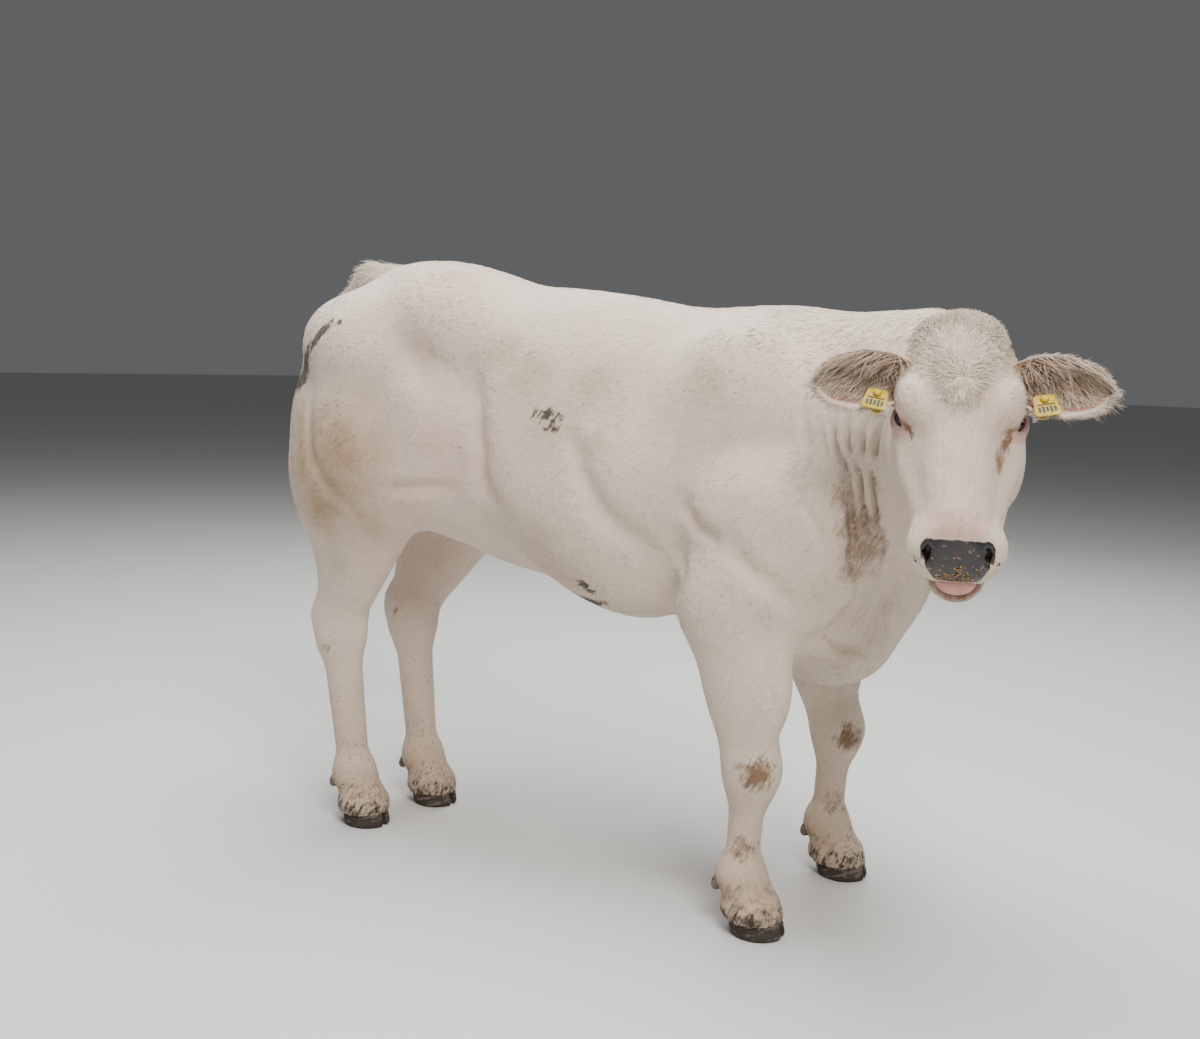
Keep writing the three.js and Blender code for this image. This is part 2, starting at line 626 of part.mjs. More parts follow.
function earForm(side) {
  const points = [];
  const skin = (s, t, back) => {
    const width = 51 * Math.sqrt(1 - ((s - 0.46) / 0.545) ** 2);
    const cup = 30 * (1 - s) ** 0.6 + 8;
    const rise = -cup * (1 - t * t) - 10 * s - 0.24 * t * width;
    const thick = (back ? -1 : 0) * (7 + 9 * (1 - s) ** 2) * (1 - 0.6 * t * t);
    const droop = 8 * s * s;
    return [
      earRoot[0] + droop + t * width,
      side * (earRoot[1] + s * earLength),
      earRoot[2] + 26 + rise + thick,
    ];
  };
  for (const back of [false, true]) {
    for (let r = 0; r <= earRows; r++) {
      for (let c = 0; c <= earColumns; c++) {
        points.push(skin(0.985 * r / earRows, -1 + 2 * c / earColumns, back));
      }
    }
  }
  const at = (back, r, c) => back * (earRows + 1) * (earColumns + 1) + r * (earColumns + 1) + c;
  const faces = [];
  const quad = (a, b, c, d) => faces.push([a, b, c], [a, c, d]);
  for (let r = 0; r < earRows; r++) {
    for (let c = 0; c < earColumns; c++) {
      quad(at(0, r, c), at(0, r, c + 1), at(0, r + 1, c + 1), at(0, r + 1, c));
      quad(at(1, r, c), at(1, r + 1, c), at(1, r + 1, c + 1), at(1, r, c + 1));
    }
    quad(at(0, r, 0), at(0, r + 1, 0), at(1, r + 1, 0), at(1, r, 0));
    quad(at(1, r, earColumns), at(1, r + 1, earColumns), at(0, r + 1, earColumns), at(0, r, earColumns));
  }
  for (let c = 0; c < earColumns; c++) {
    quad(at(1, 0, c), at(1, 0, c + 1), at(0, 0, c + 1), at(0, 0, c));
    quad(at(0, earRows, c), at(0, earRows, c + 1), at(1, earRows, c + 1), at(1, earRows, c));
  }
  const outward = side > 0 ? faces : faces.map(([a, b, c]) => [a, c, b]);
  const placed = points.map((p) => headPoint(...p));
  return largest(solidFrom({ points: placed, faces: outward }));
}

// An ear tag: a plate hung on a stud that passes through the ear
function tagForm() {
  const [width, height] = tagSize;
  const shape = new THREE.Shape();
  const w = width / 2, h = height / 2, r = 7;
  shape.moveTo(-w + r, -h);
  shape.lineTo(w - r, -h);
  shape.quadraticCurveTo(w, -h, w, -h + r);
  shape.lineTo(w * 0.8, h - r);
  shape.quadraticCurveTo(w * 0.8, h, w * 0.8 - r, h);
  shape.lineTo(-w * 0.8 + r, h);
  shape.quadraticCurveTo(-w * 0.8, h, -w * 0.8, h - r);
  shape.lineTo(-w, -h + r);
  shape.quadraticCurveTo(-w, -h, -w + r, -h);
  const plate = new THREE.ExtrudeGeometry(shape, { depth: 2.4, bevelEnabled: false, curveSegments: 3 });
  plate.translate(0, -h + 14, -1.2);
  const stud = new THREE.CylinderGeometry(6.5, 6.5, 48, 10).rotateX(Math.PI / 2).translate(0, 0, -18);
  const cap = new THREE.CylinderGeometry(12, 12, 3, 12).rotateX(Math.PI / 2);
  return [plate, stud, cap.clone().translate(0, 0, 3), cap.clone().translate(0, 0, -42)]
    .map(solidOfGeometry).reduce((all, next) => all.add(next));
}

for (const [name, side] of [['right', -1], ['left', 1]]) {
  const tagTurn = new THREE.Matrix4().makeBasis(
    new THREE.Vector3(0, 1, 0), new THREE.Vector3(-1, 0, 0), new THREE.Vector3(0, 0, 1));
  const tagPlace = headPlace.clone()
    .multiply(new THREE.Matrix4().makeTranslation(earRoot[0] + 36, side * (earRoot[1] + 56), earRoot[2] + 22))
    .multiply(new THREE.Matrix4().makeRotationFromEuler(new THREE.Euler(0, -0.2, side * 0.2)))
    .multiply(tagTurn).toArray();
  const tag = largest(tagForm().transform(tagPlace).subtract(besideHead));
  solids[`ear_${name}`] = largest(earForm(side).subtract(swollen(tag)).subtract(besideHead));
  solids[`ear_tag_${name}`] = tag;
}
solids.head = largest(headSolid);

for (const [name, planes] of Object.entries(limbCuts)) {
  const [footX, footY] = feet[name];
  const fore = name.startsWith('fore');
  const top = fore ? axillaHeight : groinHeight;
  const split = fore ? kneeCutHeight : hockCutHeight;
  const low = [footX - 300, footY < 0 ? -360 : -40, 0];
  const high = [footX + 360, footY < 0 ? 40 : 360, top + 60];
  const upper = within(piece([low[0], low[1], split - 60], high, 18, 640), planes, half);
  let lower = piece([footX - 140, footY - 110, 0], [footX + 140, footY + 110, split + 60], 11, 600);
  const coronet = { at: [footX + 18, 0, coronetHeight], facing: [-0.3, 0, 1] };
  solids[`${name}_upper_leg`] = largest(upper.intersect(behind(shoulderCut, half))
    .intersect(aheadOf(legCut(split), half)));
  lower = lower.intersect(behind(legCut(split), half)).intersect(aheadOf(coronet, half));
  for (const side of [-1, 1]) {
    const which = side === Math.sign(footY) ? 'outer' : 'inner';
    const dewclaw = (by) => solidOfGeometry(egg(grown([12, 11, 17], by),
      [footX - (fore ? 50 : 56), footY + side * 24, 92], [0, 24, 0], 8, 6));
    lower = lower.subtract(dewclaw(gap));
    solids[`${name}_${which}_dewclaw`] = dewclaw(0);
    solids[`${name}_${which}_claw`] = clawForm(footX + 18, footY, side);
  }
  solids[`${name}_lower_leg`] = largest(lower);
}

// A claw: rings from the flat sole up to the slanting coronet, straight inside and round outside
function clawForm(centreX, centreY, side) {
  const across = 14;
  const levels = [[0, 0.93, 0], [0.12, 1, 0], [0.6, 0.97, -7], [1, 0.93, -16]];
  const points = [];
  for (const [rise, size, lean] of levels) {
    for (let n = 0; n < across; n++) {
      const turn = 2 * Math.PI * n / across;
      const forward = Math.cos(turn);
      const outward = Math.sin(turn);
      const width = outward > 0 ? clawWidth : clawWidth * 0.16;
      const x = size * clawLength / 2 * Math.sign(forward) * Math.abs(forward) ** 0.9 + 12 + lean;
      const taper = 1 - 0.35 * Math.max(0, forward) ** 2;
      const y = 3 + (clawWidth * 0.16 + outward * width * taper) * size * 0.84;
      const top = coronetHeight - gap + 0.3 * x - 1;
      points.push([centreX + x, centreY + side * Math.max(1.5, y), rise * top]);
    }
  }
  points.push([centreX + 12, centreY + side * clawWidth * 0.4, 0]);
  const crown = points.slice(3 * across, 4 * across).reduce((sum, p) => sum.map((v, c) => v + p[c] / across), [0, 0, 0]);
  points.push(crown);
  const faces = [];
  for (let level = 0; level < levels.length - 1; level++) {
    for (let n = 0; n < across; n++) {
      const a = level * across + n, b = level * across + (n + 1) % across;
      faces.push([a, b, b + across], [a, b + across, a + across]);
    }
  }
  for (let n = 0; n < across; n++) {
    const m = (n + 1) % across;
    faces.push([4 * across, m, n], [4 * across + 1, 3 * across + n, 3 * across + m]);
  }
  return solidFrom({ points, faces: side > 0 ? faces : faces.map(([a, b, c]) => [a, c, b]) });
}

// Tail: hangs from the tail head between the buttocks and ends in a switch of long locks
const tailLine = new THREE.CatmullRomCurve3([
  [-610, 4, 1292], [-680, 12, 1300], [-742, 24, 1250], [-786, 34, 1140], [-800, 42, 980],
  [-800, 46, 800], [-796, 46, 660], [-792, 46, 560],
].map((p) => new THREE.Vector3(...p)));
const tailRadius = [48, 46, 38, 30, 25, 21, 18, 15];

function rod(line, radii, from, to, rings, round, growth = 0) {
  const frames = line.computeFrenetFrames(rings * 4, false);
  const points = [];
  for (let r = 0; r <= rings; r++) {
    const t = from + (to - from) * r / rings;
    const centre = line.getPointAt(t);
    const k = t * (radii.length - 1);
    const low = Math.min(radii.length - 2, Math.floor(k));
    const radius = radii[low] + (k - low) * (radii[low + 1] - radii[low]) + growth;
    const f = Math.min(rings * 4, Math.round(t * rings * 4));
    for (let n = 0; n < round; n++) {
      const turn = 2 * Math.PI * n / round;
      points.push(centre.clone()
        .addScaledVector(frames.normals[f], radius * Math.cos(turn))
        .addScaledVector(frames.binormals[f], radius * Math.sin(turn)).toArray());
    }
  }
  points.push(line.getPointAt(from).toArray(), line.getPointAt(to).toArray());
  const faces = [];
  for (let r = 0; r < rings; r++) {
    for (let n = 0; n < round; n++) {
      const a = r * round + n, b = r * round + (n + 1) % round;
      faces.push([a, b, b + round], [a, b + round, a + round]);
    }
  }
  const start = points.length - 2;
  for (let n = 0; n < round; n++) {
    const m = (n + 1) % round;
    faces.push([start, m, n], [start + 1, rings * round + n, rings * round + m]);
  }
  return solidFrom({ points, faces });
}

let seed = 20260;
const random = () => {
  seed = (seed * 16807) % 2147483647;
  return seed / 2147483647;
};

// A flat tapered lock of hair from a root, bent as it falls
function lock(root, drift, length, width) {
  const points = [];
  const rings = 4;
  for (let r = 0; r < rings; r++) {
    const t = r / rings;
    const bend = Math.sin(t * 2.6) * 7;
    const w = width * Math.sin(0.9 + t * 2.0);
    const centre = [root[0] + drift[0] * t + bend, root[1] + drift[1] * t + bend * 0.5, root[2] - length * t];
    const along = Math.hypot(...drift) || 1;
    const flat = [-drift[1] / along, drift[0] / along];
    const thick = [drift[0] / along, drift[1] / along];
    for (const [u, v] of [[1, 0], [0, 0.45], [-1, 0], [0, -0.45]]) {
      points.push([centre[0] + w * (u * flat[0] + v * thick[0]), centre[1] + w * (u * flat[1] + v * thick[1]), centre[2]]);
    }
  }
  points.push([root[0] + drift[0], root[1] + drift[1], root[2] - length]);
  points.push([root[0], root[1], root[2] + 4]);
  const faces = [];
  for (let r = 0; r < rings - 1; r++) {
    for (let n = 0; n < 4; n++) {
      const a = r * 4 + n, b = r * 4 + (n + 1) % 4;
      faces.push([a, b + 4, a + 4], [a, b, b + 4]);
    }
  }
  const last = (rings - 1) * 4;
  for (let n = 0; n < 4; n++) {
    const m = (n + 1) % 4;
    faces.push([last + n, last + m, points.length - 2], [points.length - 1, m, n]);
  }
  return solidFrom({ points, faces });
}

const tailCut = { at: [-802, 45, 900], facing: [0.1, 0, -1] };
const switchTop = { at: [-796, 46, 640], facing: [0, 0, -1] };
const tailWhole = rod(tailLine, tailRadius, 0, 1, 26, 12);
solids.torso = largest(solids.torso.subtract(rod(tailLine, tailRadius, 0, 1, 26, 12, gap)));
solids.tail_upper = largest(tailWhole.intersect(behind(tailCut, half)));
solids.tail_lower = largest(tailWhole.intersect(aheadOf(tailCut, half)).intersect(behind(switchTop, half)));
let tuft = tailWhole.intersect(aheadOf(switchTop, half));
for (let n = 0; n < 14; n++) {
  const turn = 2 * Math.PI * (n * 0.618 + 0.1 * random());
  const depth = n / 14;
  const root = [-793 + 8 * Math.cos(turn), 46 + 8 * Math.sin(turn), 628 - 60 * depth - 8 * random()];
  const spread = 14 + 20 * (1 - depth) * random();
  tuft = tuft.add(lock(root, [spread * Math.cos(turn), spread * Math.sin(turn)], 150 + 60 * random(), 11 + 5 * random()));
}
solids.tail_switch = largest(tuft);

// Finishes: colour, roughness
const finishes = {
  coat: ['#e9dfd2', 0.9],
  muzzle: ['#e4d8cb', 0.8],
  eye: ['#1d1512', 0.12],
  tongue: ['#d99a94', 0.45],
  horn: ['#6b6257', 0.65],
  tag: ['#e8c51a', 0.4],
  hair: ['#ded2bf', 0.85],
};

function finishOf(name) {
  if (name.startsWith('eye')) return finishes.eye;
  if (name.startsWith('ear_tag')) return finishes.tag;
  if (name.endsWith('claw')) return finishes.horn;
  if (name === 'tongue') return finishes.tongue;
  if (name === 'tail_switch') return finishes.hair;
  if (name === 'head') return finishes.muzzle;
  return finishes.coat;
}

const part = new THREE.Group();
for (const [name, solid] of Object.entries(solids)) {
  const mesh = solid.getMesh();
  const geometry = new THREE.BufferGeometry();
  geometry.setAttribute('position', new THREE.BufferAttribute(mesh.vertProperties, 3));
  geometry.setIndex(new THREE.BufferAttribute(mesh.triVerts, 1));
  const [color, roughness] = finishOf(name);
  const shown = new THREE.Mesh(geometry, new THREE.MeshStandardMaterial({ color, roughness, metalness: 0 }));
  shown.name = name;
  part.add(shown);
}

// The part's origin: the middle of its own box, on the floor
const box = new THREE.Box3().setFromObject(part);
const middle = box.getCenter(new THREE.Vector3());
for (const mesh of part.children) mesh.geometry.translate(-middle.x, -middle.y, -box.min.z);

export default part;
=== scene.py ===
import math
import bpy
import numpy as np
from mathutils import Matrix, Vector


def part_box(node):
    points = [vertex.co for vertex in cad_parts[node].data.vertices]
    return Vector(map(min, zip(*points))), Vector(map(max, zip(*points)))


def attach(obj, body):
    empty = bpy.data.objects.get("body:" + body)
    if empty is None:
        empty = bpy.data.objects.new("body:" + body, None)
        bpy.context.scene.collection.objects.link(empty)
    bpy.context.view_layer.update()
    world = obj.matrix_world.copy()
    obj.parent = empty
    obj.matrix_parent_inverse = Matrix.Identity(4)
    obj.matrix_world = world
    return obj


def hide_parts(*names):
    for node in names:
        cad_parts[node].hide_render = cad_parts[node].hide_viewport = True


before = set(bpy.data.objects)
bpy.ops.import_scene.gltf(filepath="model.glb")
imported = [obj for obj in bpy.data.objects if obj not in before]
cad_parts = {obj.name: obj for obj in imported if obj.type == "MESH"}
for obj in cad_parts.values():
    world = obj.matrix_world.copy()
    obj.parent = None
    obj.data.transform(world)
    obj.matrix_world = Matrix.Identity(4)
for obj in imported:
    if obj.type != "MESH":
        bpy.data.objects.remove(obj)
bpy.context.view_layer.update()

# A white Belgian Blue heifer, life size. Forms are in millimetres from the ground point between
# the feet: X forward, Y to the animal's left, Z up. They go to metres in the CAD frame at the end.

sizes = {
    "withersHeight": 1234,
    "hipHeight": 1345,
    "thighHalfWidth": 300,
    "headLength": 450,
    "faceHalfWidth": 116,
    "muzzleHalfWidth": 78,
    "eyeRadius": 19,
    "clawLength": 104,
    "clawWidth": 50,
    "coronetHeight": 54,
    "earLength": 178,
}

feet = {
    "fore_right": (448, -185),
    "fore_left": (500, 200),
    "hind_right": (-572, -118),
    "hind_left": (-522, 92),
}

headPose = {"poll": (866, -318, 1214), "heading": -75, "pitch": 63}
eyeAt = (168, 92, -60)
muzzleEnd = sizes["headLength"] - 62


def turn(roll, pitch, yaw):
    return np.array(Matrix.Rotation(math.radians(yaw), 3, "Z")
                    @ Matrix.Rotation(math.radians(pitch), 3, "Y")
                    @ Matrix.Rotation(math.radians(roll), 3, "X"))


headTurn = turn(0, headPose["pitch"], headPose["heading"])
headOrigin = np.array(headPose["poll"], float)


def fromHead(points):
    return np.asarray(points, float) @ headTurn.T + headOrigin


def toHead(points):
    return (np.asarray(points, float) - headOrigin) @ headTurn


def eyeCentre(side):
    return np.array([eyeAt[0], side * eyeAt[1], eyeAt[2]])


nodeLow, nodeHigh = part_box("eye_right")
frameShift = fromHead([eyeAt[0], -eyeAt[1], eyeAt[2]]) - np.array((nodeLow + nodeHigh) / 2) * 1000


def toFrame(points):
    return (np.asarray(points, float) - frameShift) / 1000


# Forms of the flesh. Each gives about the distance to its surface, below zero inside.
def belly(at, size, turned=(0, 0, 0), blend=40):
    m = turn(*turned)
    at, size = np.array(at, float), np.array(size, float)

    def distance(p):
        q = ((p - at) @ m) / size
        near = np.sqrt((q ** 2).sum(1))
        slope = np.sqrt(((q / size) ** 2).sum(1)) + 1e-9
        return near * (near - 1) / slope
    return {"at": at, "reach": size.max(), "blend": blend, "distance": distance}


def bone(start, end, startRadius, endRadius, squeeze=1, blend=30):
    a, b = np.array(start, float), np.array(end, float)
    scale = np.array([1, 1 / squeeze, 1])
    along = (b - a) * scale

    def distance(p):
        d = (p - a) * scale
        t = np.clip(d @ along / (along @ along), 0, 1)
        away = np.sqrt(((d - t[:, None] * along) ** 2).sum(1))
        return (away - startRadius - t * (endRadius - startRadius)) * min(1, squeeze)
    reach = np.linalg.norm(b - a) / 2 + max(startRadius, endRadius)
    return {"at": (a + b) / 2, "reach": reach, "blend": blend, "distance": distance}


def pair(at, size, turned=(0, 0, 0), blend=40):
    x, y, z = at
    roll, pitch, yaw = turned
    return [belly(at, size, turned, blend), belly((x, -y, z), size, (-roll, pitch, -yaw), blend)]


def blended(a, b, width):
    h = np.maximum(width - np.abs(a - b), 0)
    return np.minimum(a, b) - h * h / (4 * width)


def hollowed(a, b, width):
    h = np.maximum(width - np.abs(a + b), 0)
    return np.maximum(a, -b) + h * h / (4 * width)


def near(form, p):
    return np.sqrt(((p - form["at"]) ** 2).sum(1)) - form["reach"]


def group(forms, hollows=()):
    low = np.min([f["at"] - f["reach"] for f in forms], 0)
    high = np.max([f["at"] + f["reach"] for f in forms], 0)
    centre, reach = (low + high) / 2, np.linalg.norm(high - low) / 2

    def distance(p):
        d = np.full(len(p), 1e6)
        for f in forms:
            far = near(f, p)
            todo = np.flatnonzero(far <= d + f["blend"])
            if len(todo) == 0:
                continue
            here = f["distance"](p[todo])
            before = d[todo]
            d[todo] = np.where(before > 9e5, here, blended(before, here, f["blend"]))
        lost = d > 9e5
        d[lost] = np.sqrt(((p[lost] - centre) ** 2).sum(1)) - reach
        for f in hollows:
            todo = np.flatnonzero(near(f, p) < f["blend"])
            if len(todo):
                d[todo] = hollowed(d[todo], f["distance"](p[todo]), f["blend"])
        return d
    return {"at": centre, "reach": reach, "distance": distance}


trunk = group([
    belly((-40, 0, 935), (580, 268, 318), (0, 4, 0), 60),
    belly((190, 0, 860), (380, 268, 290), (0, 2, 0), 60),
    bone((-500, 0, 1185), (400, 0, 1085), 128, 116, 1.3, 120),
    belly((-430, 0, 1190), (260, 190, sizes["hipHeight"] - 1184), (0, 5, 0), 70),
    *pair((-335, 148, 1190), (160, 100, 108), (0, 14, 0), 90),
    *pair((-540, 148, 1110), (215, 142, 150), (0, 20, 8), 60),
    *pair((-545, sizes["thighHalfWidth"] - 140, 950), (175, 140, 240), (4, 12, 6), 24),
    *pair((-672, 124, 960), (112, 112, 235), (2, 4, 0), 26),
    *pair((-345, 168, 968), (160, 126, 178), (0, -22, -4), 24),
    *pair((-300, 150, 840), (120, 90, 130), (0, -30, 0), 60),
    *pair((20, 130, 805), (310, 148, 165), (0, 36, 0), 34),
    *pair((365, 150, 985), (170, 104, 225), (-6, 14, 0), 50),
    *pair((415, 172, 845), (140, 112, 135), (0, 10, 0), 26),
    *pair((545, 140, 830), (105, 118, 150), (0, -18, 0), 34),
    *pair((430, 195, 700), (110, 84, 88), (0, 14, 0), 24),
    belly((430, 0, 1085), (240, 105, sizes["withersHeight"] - 1085), (0, 4, 0), 90),
    belly((480, 0, 700), (220, 190, 210), (0, 0, 0), 80),
    belly((545, 0, 600), (140, 125, 130), (0, 20, 0), 60),
    belly((630, -20, 690), (80, 60, 110), (0, 25, 0), 60),
])


def foreLeg(footX, footY):
    side = math.copysign(1, footY)
    hoof = (footX + 22, footY, sizes["coronetHeight"])
    fetlock = (footX - 10, footY, 112)
    knee = (footX + 4, footY * 1.01, 325)
    elbow = (405, side * 205, 640)
    shoulder = (480, side * 175, 830)
    mid = np.array(elbow) + 0.45 * (np.array(knee) - np.array(elbow))
    return group([
        bone(shoulder, elbow, 120, 98, 0.85, 60),
        bone(elbow, knee, 98, 54, 0.9, 40),
        belly((mid[0] + 30, mid[1] + side * 8, mid[2] + 10), (82, 62, 125), (0, -6, 0), 40),
        belly((knee[0] + 6, knee[1], knee[2]), (54, 52, 70), (0, 0, 0), 30),
        bone(knee, fetlock, 39, 35, 1, 40),
        belly(fetlock, (50, 49, 42), (0, 0, 0), 28),
        bone(fetlock, hoof, 40, 46, 1.18, 24),
        belly((hoof[0] - 8, hoof[1], hoof[2] - 12), (62, 56, 34), (0, 8, 0), 22),
    ])


def hindLeg(footX, footY):
    side = math.copysign(1, footY)
    hoof = (footX + 22, footY, sizes["coronetHeight"])
    fetlock = (footX - 16, footY, 116)
    hock = (footX - 64, footY * 1.06, 480)
    stifle = (footX + 150, side * 210, 850)
    ham = (footX - 60, side * 165, 820)
    return group([
        belly((footX + 125, side * 195, 860), (120, 82, 130), (0, 12, 0), 50),
        belly((footX - 20, side * 165, 800), (140, 92, 150), (0, 0, 0), 50),
        bone(stifle, hock, 104, 54, 0.78, 60),
        bone(ham, (hock[0] - 22, hock[1], hock[2] + 40), 96, 34, 0.8, 50),
        belly((hock[0] - 2, hock[1], hock[2] - 24), (68, 46, 80), (0, 6, 0), 34),
        belly((hock[0] - 50, hock[1], hock[2] + 12), (28, 29, 44), (0, 10, 0), 30),
        bone((hock[0] + 2, hock[1], hock[2] - 60), fetlock, 50, 40, 0.9, 40),
        belly(fetlock, (50, 49, 44), (0, 0, 0), 28),
        bone(fetlock, hoof, 40, 46, 1.18, 24),
        belly((hoof[0] - 8, hoof[1], hoof[2] - 12), (62, 56, 34), (0, 8, 0), 22),
    ])


neck = group([
    bone((420, 0, 1030), (660, -60, 1020), 190, 178, 0.9, 60),
    bone((660, -60, 1020), (800, -175, 1085), 178, 128, 0.92, 60),
    bone((520, 0, 1130), (770, -140, 1160), 92, 78, 1, 60),
    bone((600, -20, 830), (770, -150, 960), 165, 100, 0.85, 80),
    bone((640, -20, 720), (760, -130, 880), 100, 60, 0.7, 80),
])

tailLine = [(-610, 4, 1292), (-680, 12, 1300), (-742, 24, 1250), (-786, 34, 1140), (-800, 42, 980),
            (-800, 46, 800), (-796, 46, 660), (-792, 46, 560)]
tailRadius = [48, 46, 38, 30, 25, 21, 18, 15]
tail = group([bone(tailLine[i], tailLine[i + 1], tailRadius[i], tailRadius[i + 1], 1, 12)
              for i in range(len(tailLine) - 1)])

faceWidth, noseWidth = sizes["faceHalfWidth"], sizes["muzzleHalfWidth"]
lidTurn = (-45, 0, -23)
headForms = group([
    belly((95, 0, -88), (112, 98, 84), (0, 0, 0), 30),
    belly((102, 0, -52), (112, faceWidth - 12, 50), (0, 5, 0), 34),
    belly((14, 0, -54), (38, 62, 46), (0, 0, 0), 44),
    *pair((138, 80, -52), (50, 30, 38), (0, 0, -10), 13),
    *pair((eyeAt[0] - 20, 74, -34), (42, 22, 22), (0, 8, -24), 18),
    *pair(eyeAt, (24, 24, 24), (0, 0, 0), 10),
    bone((150, 0, -70), (muzzleEnd - 22, 0, -64), 64, 44, 1.12, 20),
    belly((300, 0, -108), (140, 80, 54), (0, 0, 0), 40),
    *pair((236, 66, -108), (80, 28, 38), (0, 0, -8), 26),
    *pair((194, 76, -140), (92, 40, 80), (0, 12, 0), 32),
    bone((130, 0, -190), (360, 0, -140), 60, 36, 1.25, 40),
    belly((muzzleEnd - 2, 0, -88), (50, noseWidth, 46), (0, 16, 0), 26),
    *pair((muzzleEnd + 4, 42, -90), (42, 35, 40), (0, 12, 0), 20),
    belly((muzzleEnd + 15, 0, -106), (31, 62, 19), (0, 10, 0), 20),
    belly((muzzleEnd + 22, 0, -148), (58, 52, 27), (0, -10, 0), 10),
], [
    *pair((eyeAt[0] + 2, eyeAt[1] + 9, eyeAt[2] + 9), (17, 6.5, 26), lidTurn, 3),
    *pair((272, 88, -46), (66, 20, 24), (0, 0, -12), 20),
    *pair((muzzleEnd + 20, 47, -60), (19, 10, 13), (0, 30, 20), 4),
    *pair((muzzleEnd + 20, 60, -72), (14, 12, 5), (-30, 20, 34), 3),
    belly((muzzleEnd + 14, 0, -124), (84, noseWidth + 10, 4.2), (0, 6, 0), 4),
])

head = {
    "at": fromHead([sizes["headLength"] / 2, 0, -90]),
    "reach": sizes["headLength"] * 0.75,
    "distance": lambda p: headForms["distance"](toHead(p)),
}

joins = [(neck, 70), (head, 50), (tail, 40)]
joins += [(foreLeg(*at) if name.startswith("fore") else hindLeg(*at), 55)
          for name, at in feet.items()]


def flesh(p):
    d = trunk["distance"](p)
    for form, width in joins:
        todo = np.flatnonzero(near(form, p) <= d + width)
        if len(todo):
            d[todo] = blended(d[todo], form["distance"](p[todo]), width)
    return d


# The skin's surface, drawn on a grid that is finer round the head
skinGrid = {"trunkStep": 9.0, "neckStep": 5.0, "headStep": 3.6, "band": 26.0}


def gridLine(*stretches):
    line = []
    for start, end, step in stretches:
        count = max(2, int(round((end - start) / step)) + 1)
        line += list(np.linspace(start, end, count))[:-1]
    return np.array(line + [stretches[-1][1]])


def gridPoints(xs, ys, zs, index):
    i, j, k = np.unravel_index(index, (len(xs), len(ys), len(zs)))
    return np.stack([xs[i], ys[j], zs[k]], 1)


def fieldOnGrid(field, xs, ys, zs, band):
    coarse = [np.append(line[::4], line[-1]) if (len(line) - 1) % 4 else line[::4]
              for line in (xs, ys, zs)]
    count = [len(line) for line in coarse]
    rough = field(gridPoints(*coarse, np.arange(np.prod(count)))).reshape(count)
    value = rough
    for axis, (line, few) in enumerate(zip((xs, ys, zs), coarse)):
        slot = np.clip(np.searchsorted(few, line, "right") - 1, 0, len(few) - 2)
        t = (line - few[slot]) / (few[slot + 1] - few[slot])
        shape = [1, 1, 1]
        shape[axis] = len(line)
        t = t.reshape(shape)
        value = np.take(value, slot, axis) * (1 - t) + np.take(value, slot + 1, axis) * t
    value = value.astype(np.float32)
    flat = value.reshape(-1)
    active = np.flatnonzero(np.abs(flat) < band)
    for part in np.array_split(active, max(1, len(active) // 300000)):
        flat[part] = field(gridPoints(xs, ys, zs, part))
    return value


def surfaceNets(value, xs, ys, zs):
    inside = value < 0
    nx, ny, nz = value.shape
    corners = [inside[i:nx - 1 + i, j:ny - 1 + j, k:nz - 1 + k]
               for i in (0, 1) for j in (0, 1) for k in (0, 1)]
    anyIn = np.logical_or.reduce(corners)
    allIn = np.logical_and.reduce(corners)
    cells = np.argwhere(anyIn & ~allIn)
    number = np.full((nx - 1, ny - 1, nz - 1), -1, np.int32)
    number[tuple(cells.T)] = np.arange(len(cells))
    total = np.zeros((len(cells), 3))
    hits = np.zeros(len(cells))
    lines = (xs, ys, zs)
    for axis in range(3):
        u, v = (axis + 1) % 3, (axis + 2) % 3
        for du in (0, 1):
            for dv in (0, 1):
                a = cells.copy()
                a[:, u] += du
                a[:, v] += dv
                b = a.copy()
                b[:, axis] += 1
                va, vb = value[tuple(a.T)], value[tuple(b.T)]
                cross = (va < 0) != (vb < 0)
                t = np.where(cross, va / np.where(cross, va - vb, 1), 0)
                p = np.stack([lines[c][a[:, c]] for c in range(3)], 1)
                p[:, axis] += t * (lines[axis][b[:, axis]] - lines[axis][a[:, axis]])
                total += np.where(cross[:, None], p, 0)
                hits += cross
    points = total / hits[:, None]
    quads = []
    for axis in range(3):
        u, v = (axis + 1) % 3, (axis + 2) % 3
        low = [slice(1, -1)] * 3
        low[axis] = slice(0, -1)
        high = [slice(1, -1)] * 3
        high[axis] = slice(1, None)
        a, b = inside[tuple(low)], inside[tuple(high)]
        edges = np.argwhere(a != b)
        outward = a[tuple(edges.T)]
        base = edges + 1
        base[:, axis] -= 1
        ring = []
        for du, dv in ((0, 0), (1, 0), (1, 1), (0, 1)):
            cell = base.copy()
            cell[:, u] -= du
            cell[:, v] -= dv
            ring.append(number[tuple(cell.T)])
        ring = np.stack(ring, 1)
        ring[~outward] = ring[~outward][:, ::-1]
        quads.append(ring)
    return points, np.concatenate(quads)


def fieldSlope(field, p, d, step=0.6):
    g = np.empty_like(p)
    for axis in range(3):
        q = p.copy()
        q[:, axis] += step
        g[:, axis] = (field(q) - d) / step
    return g


def ontoSurface(field, points, limit, turns=3):
    p = points.copy()
    for _ in range(turns):
        d = field(p)
        g = fieldSlope(field, p, d)
        size = np.maximum((g ** 2).sum(1), 0.05)
        p -= np.clip(g * (d / size)[:, None], -limit, limit)
    g = fieldSlope(field, p, field(p))
    return p, g / (np.linalg.norm(g, axis=1, keepdims=True) + 1e-9)


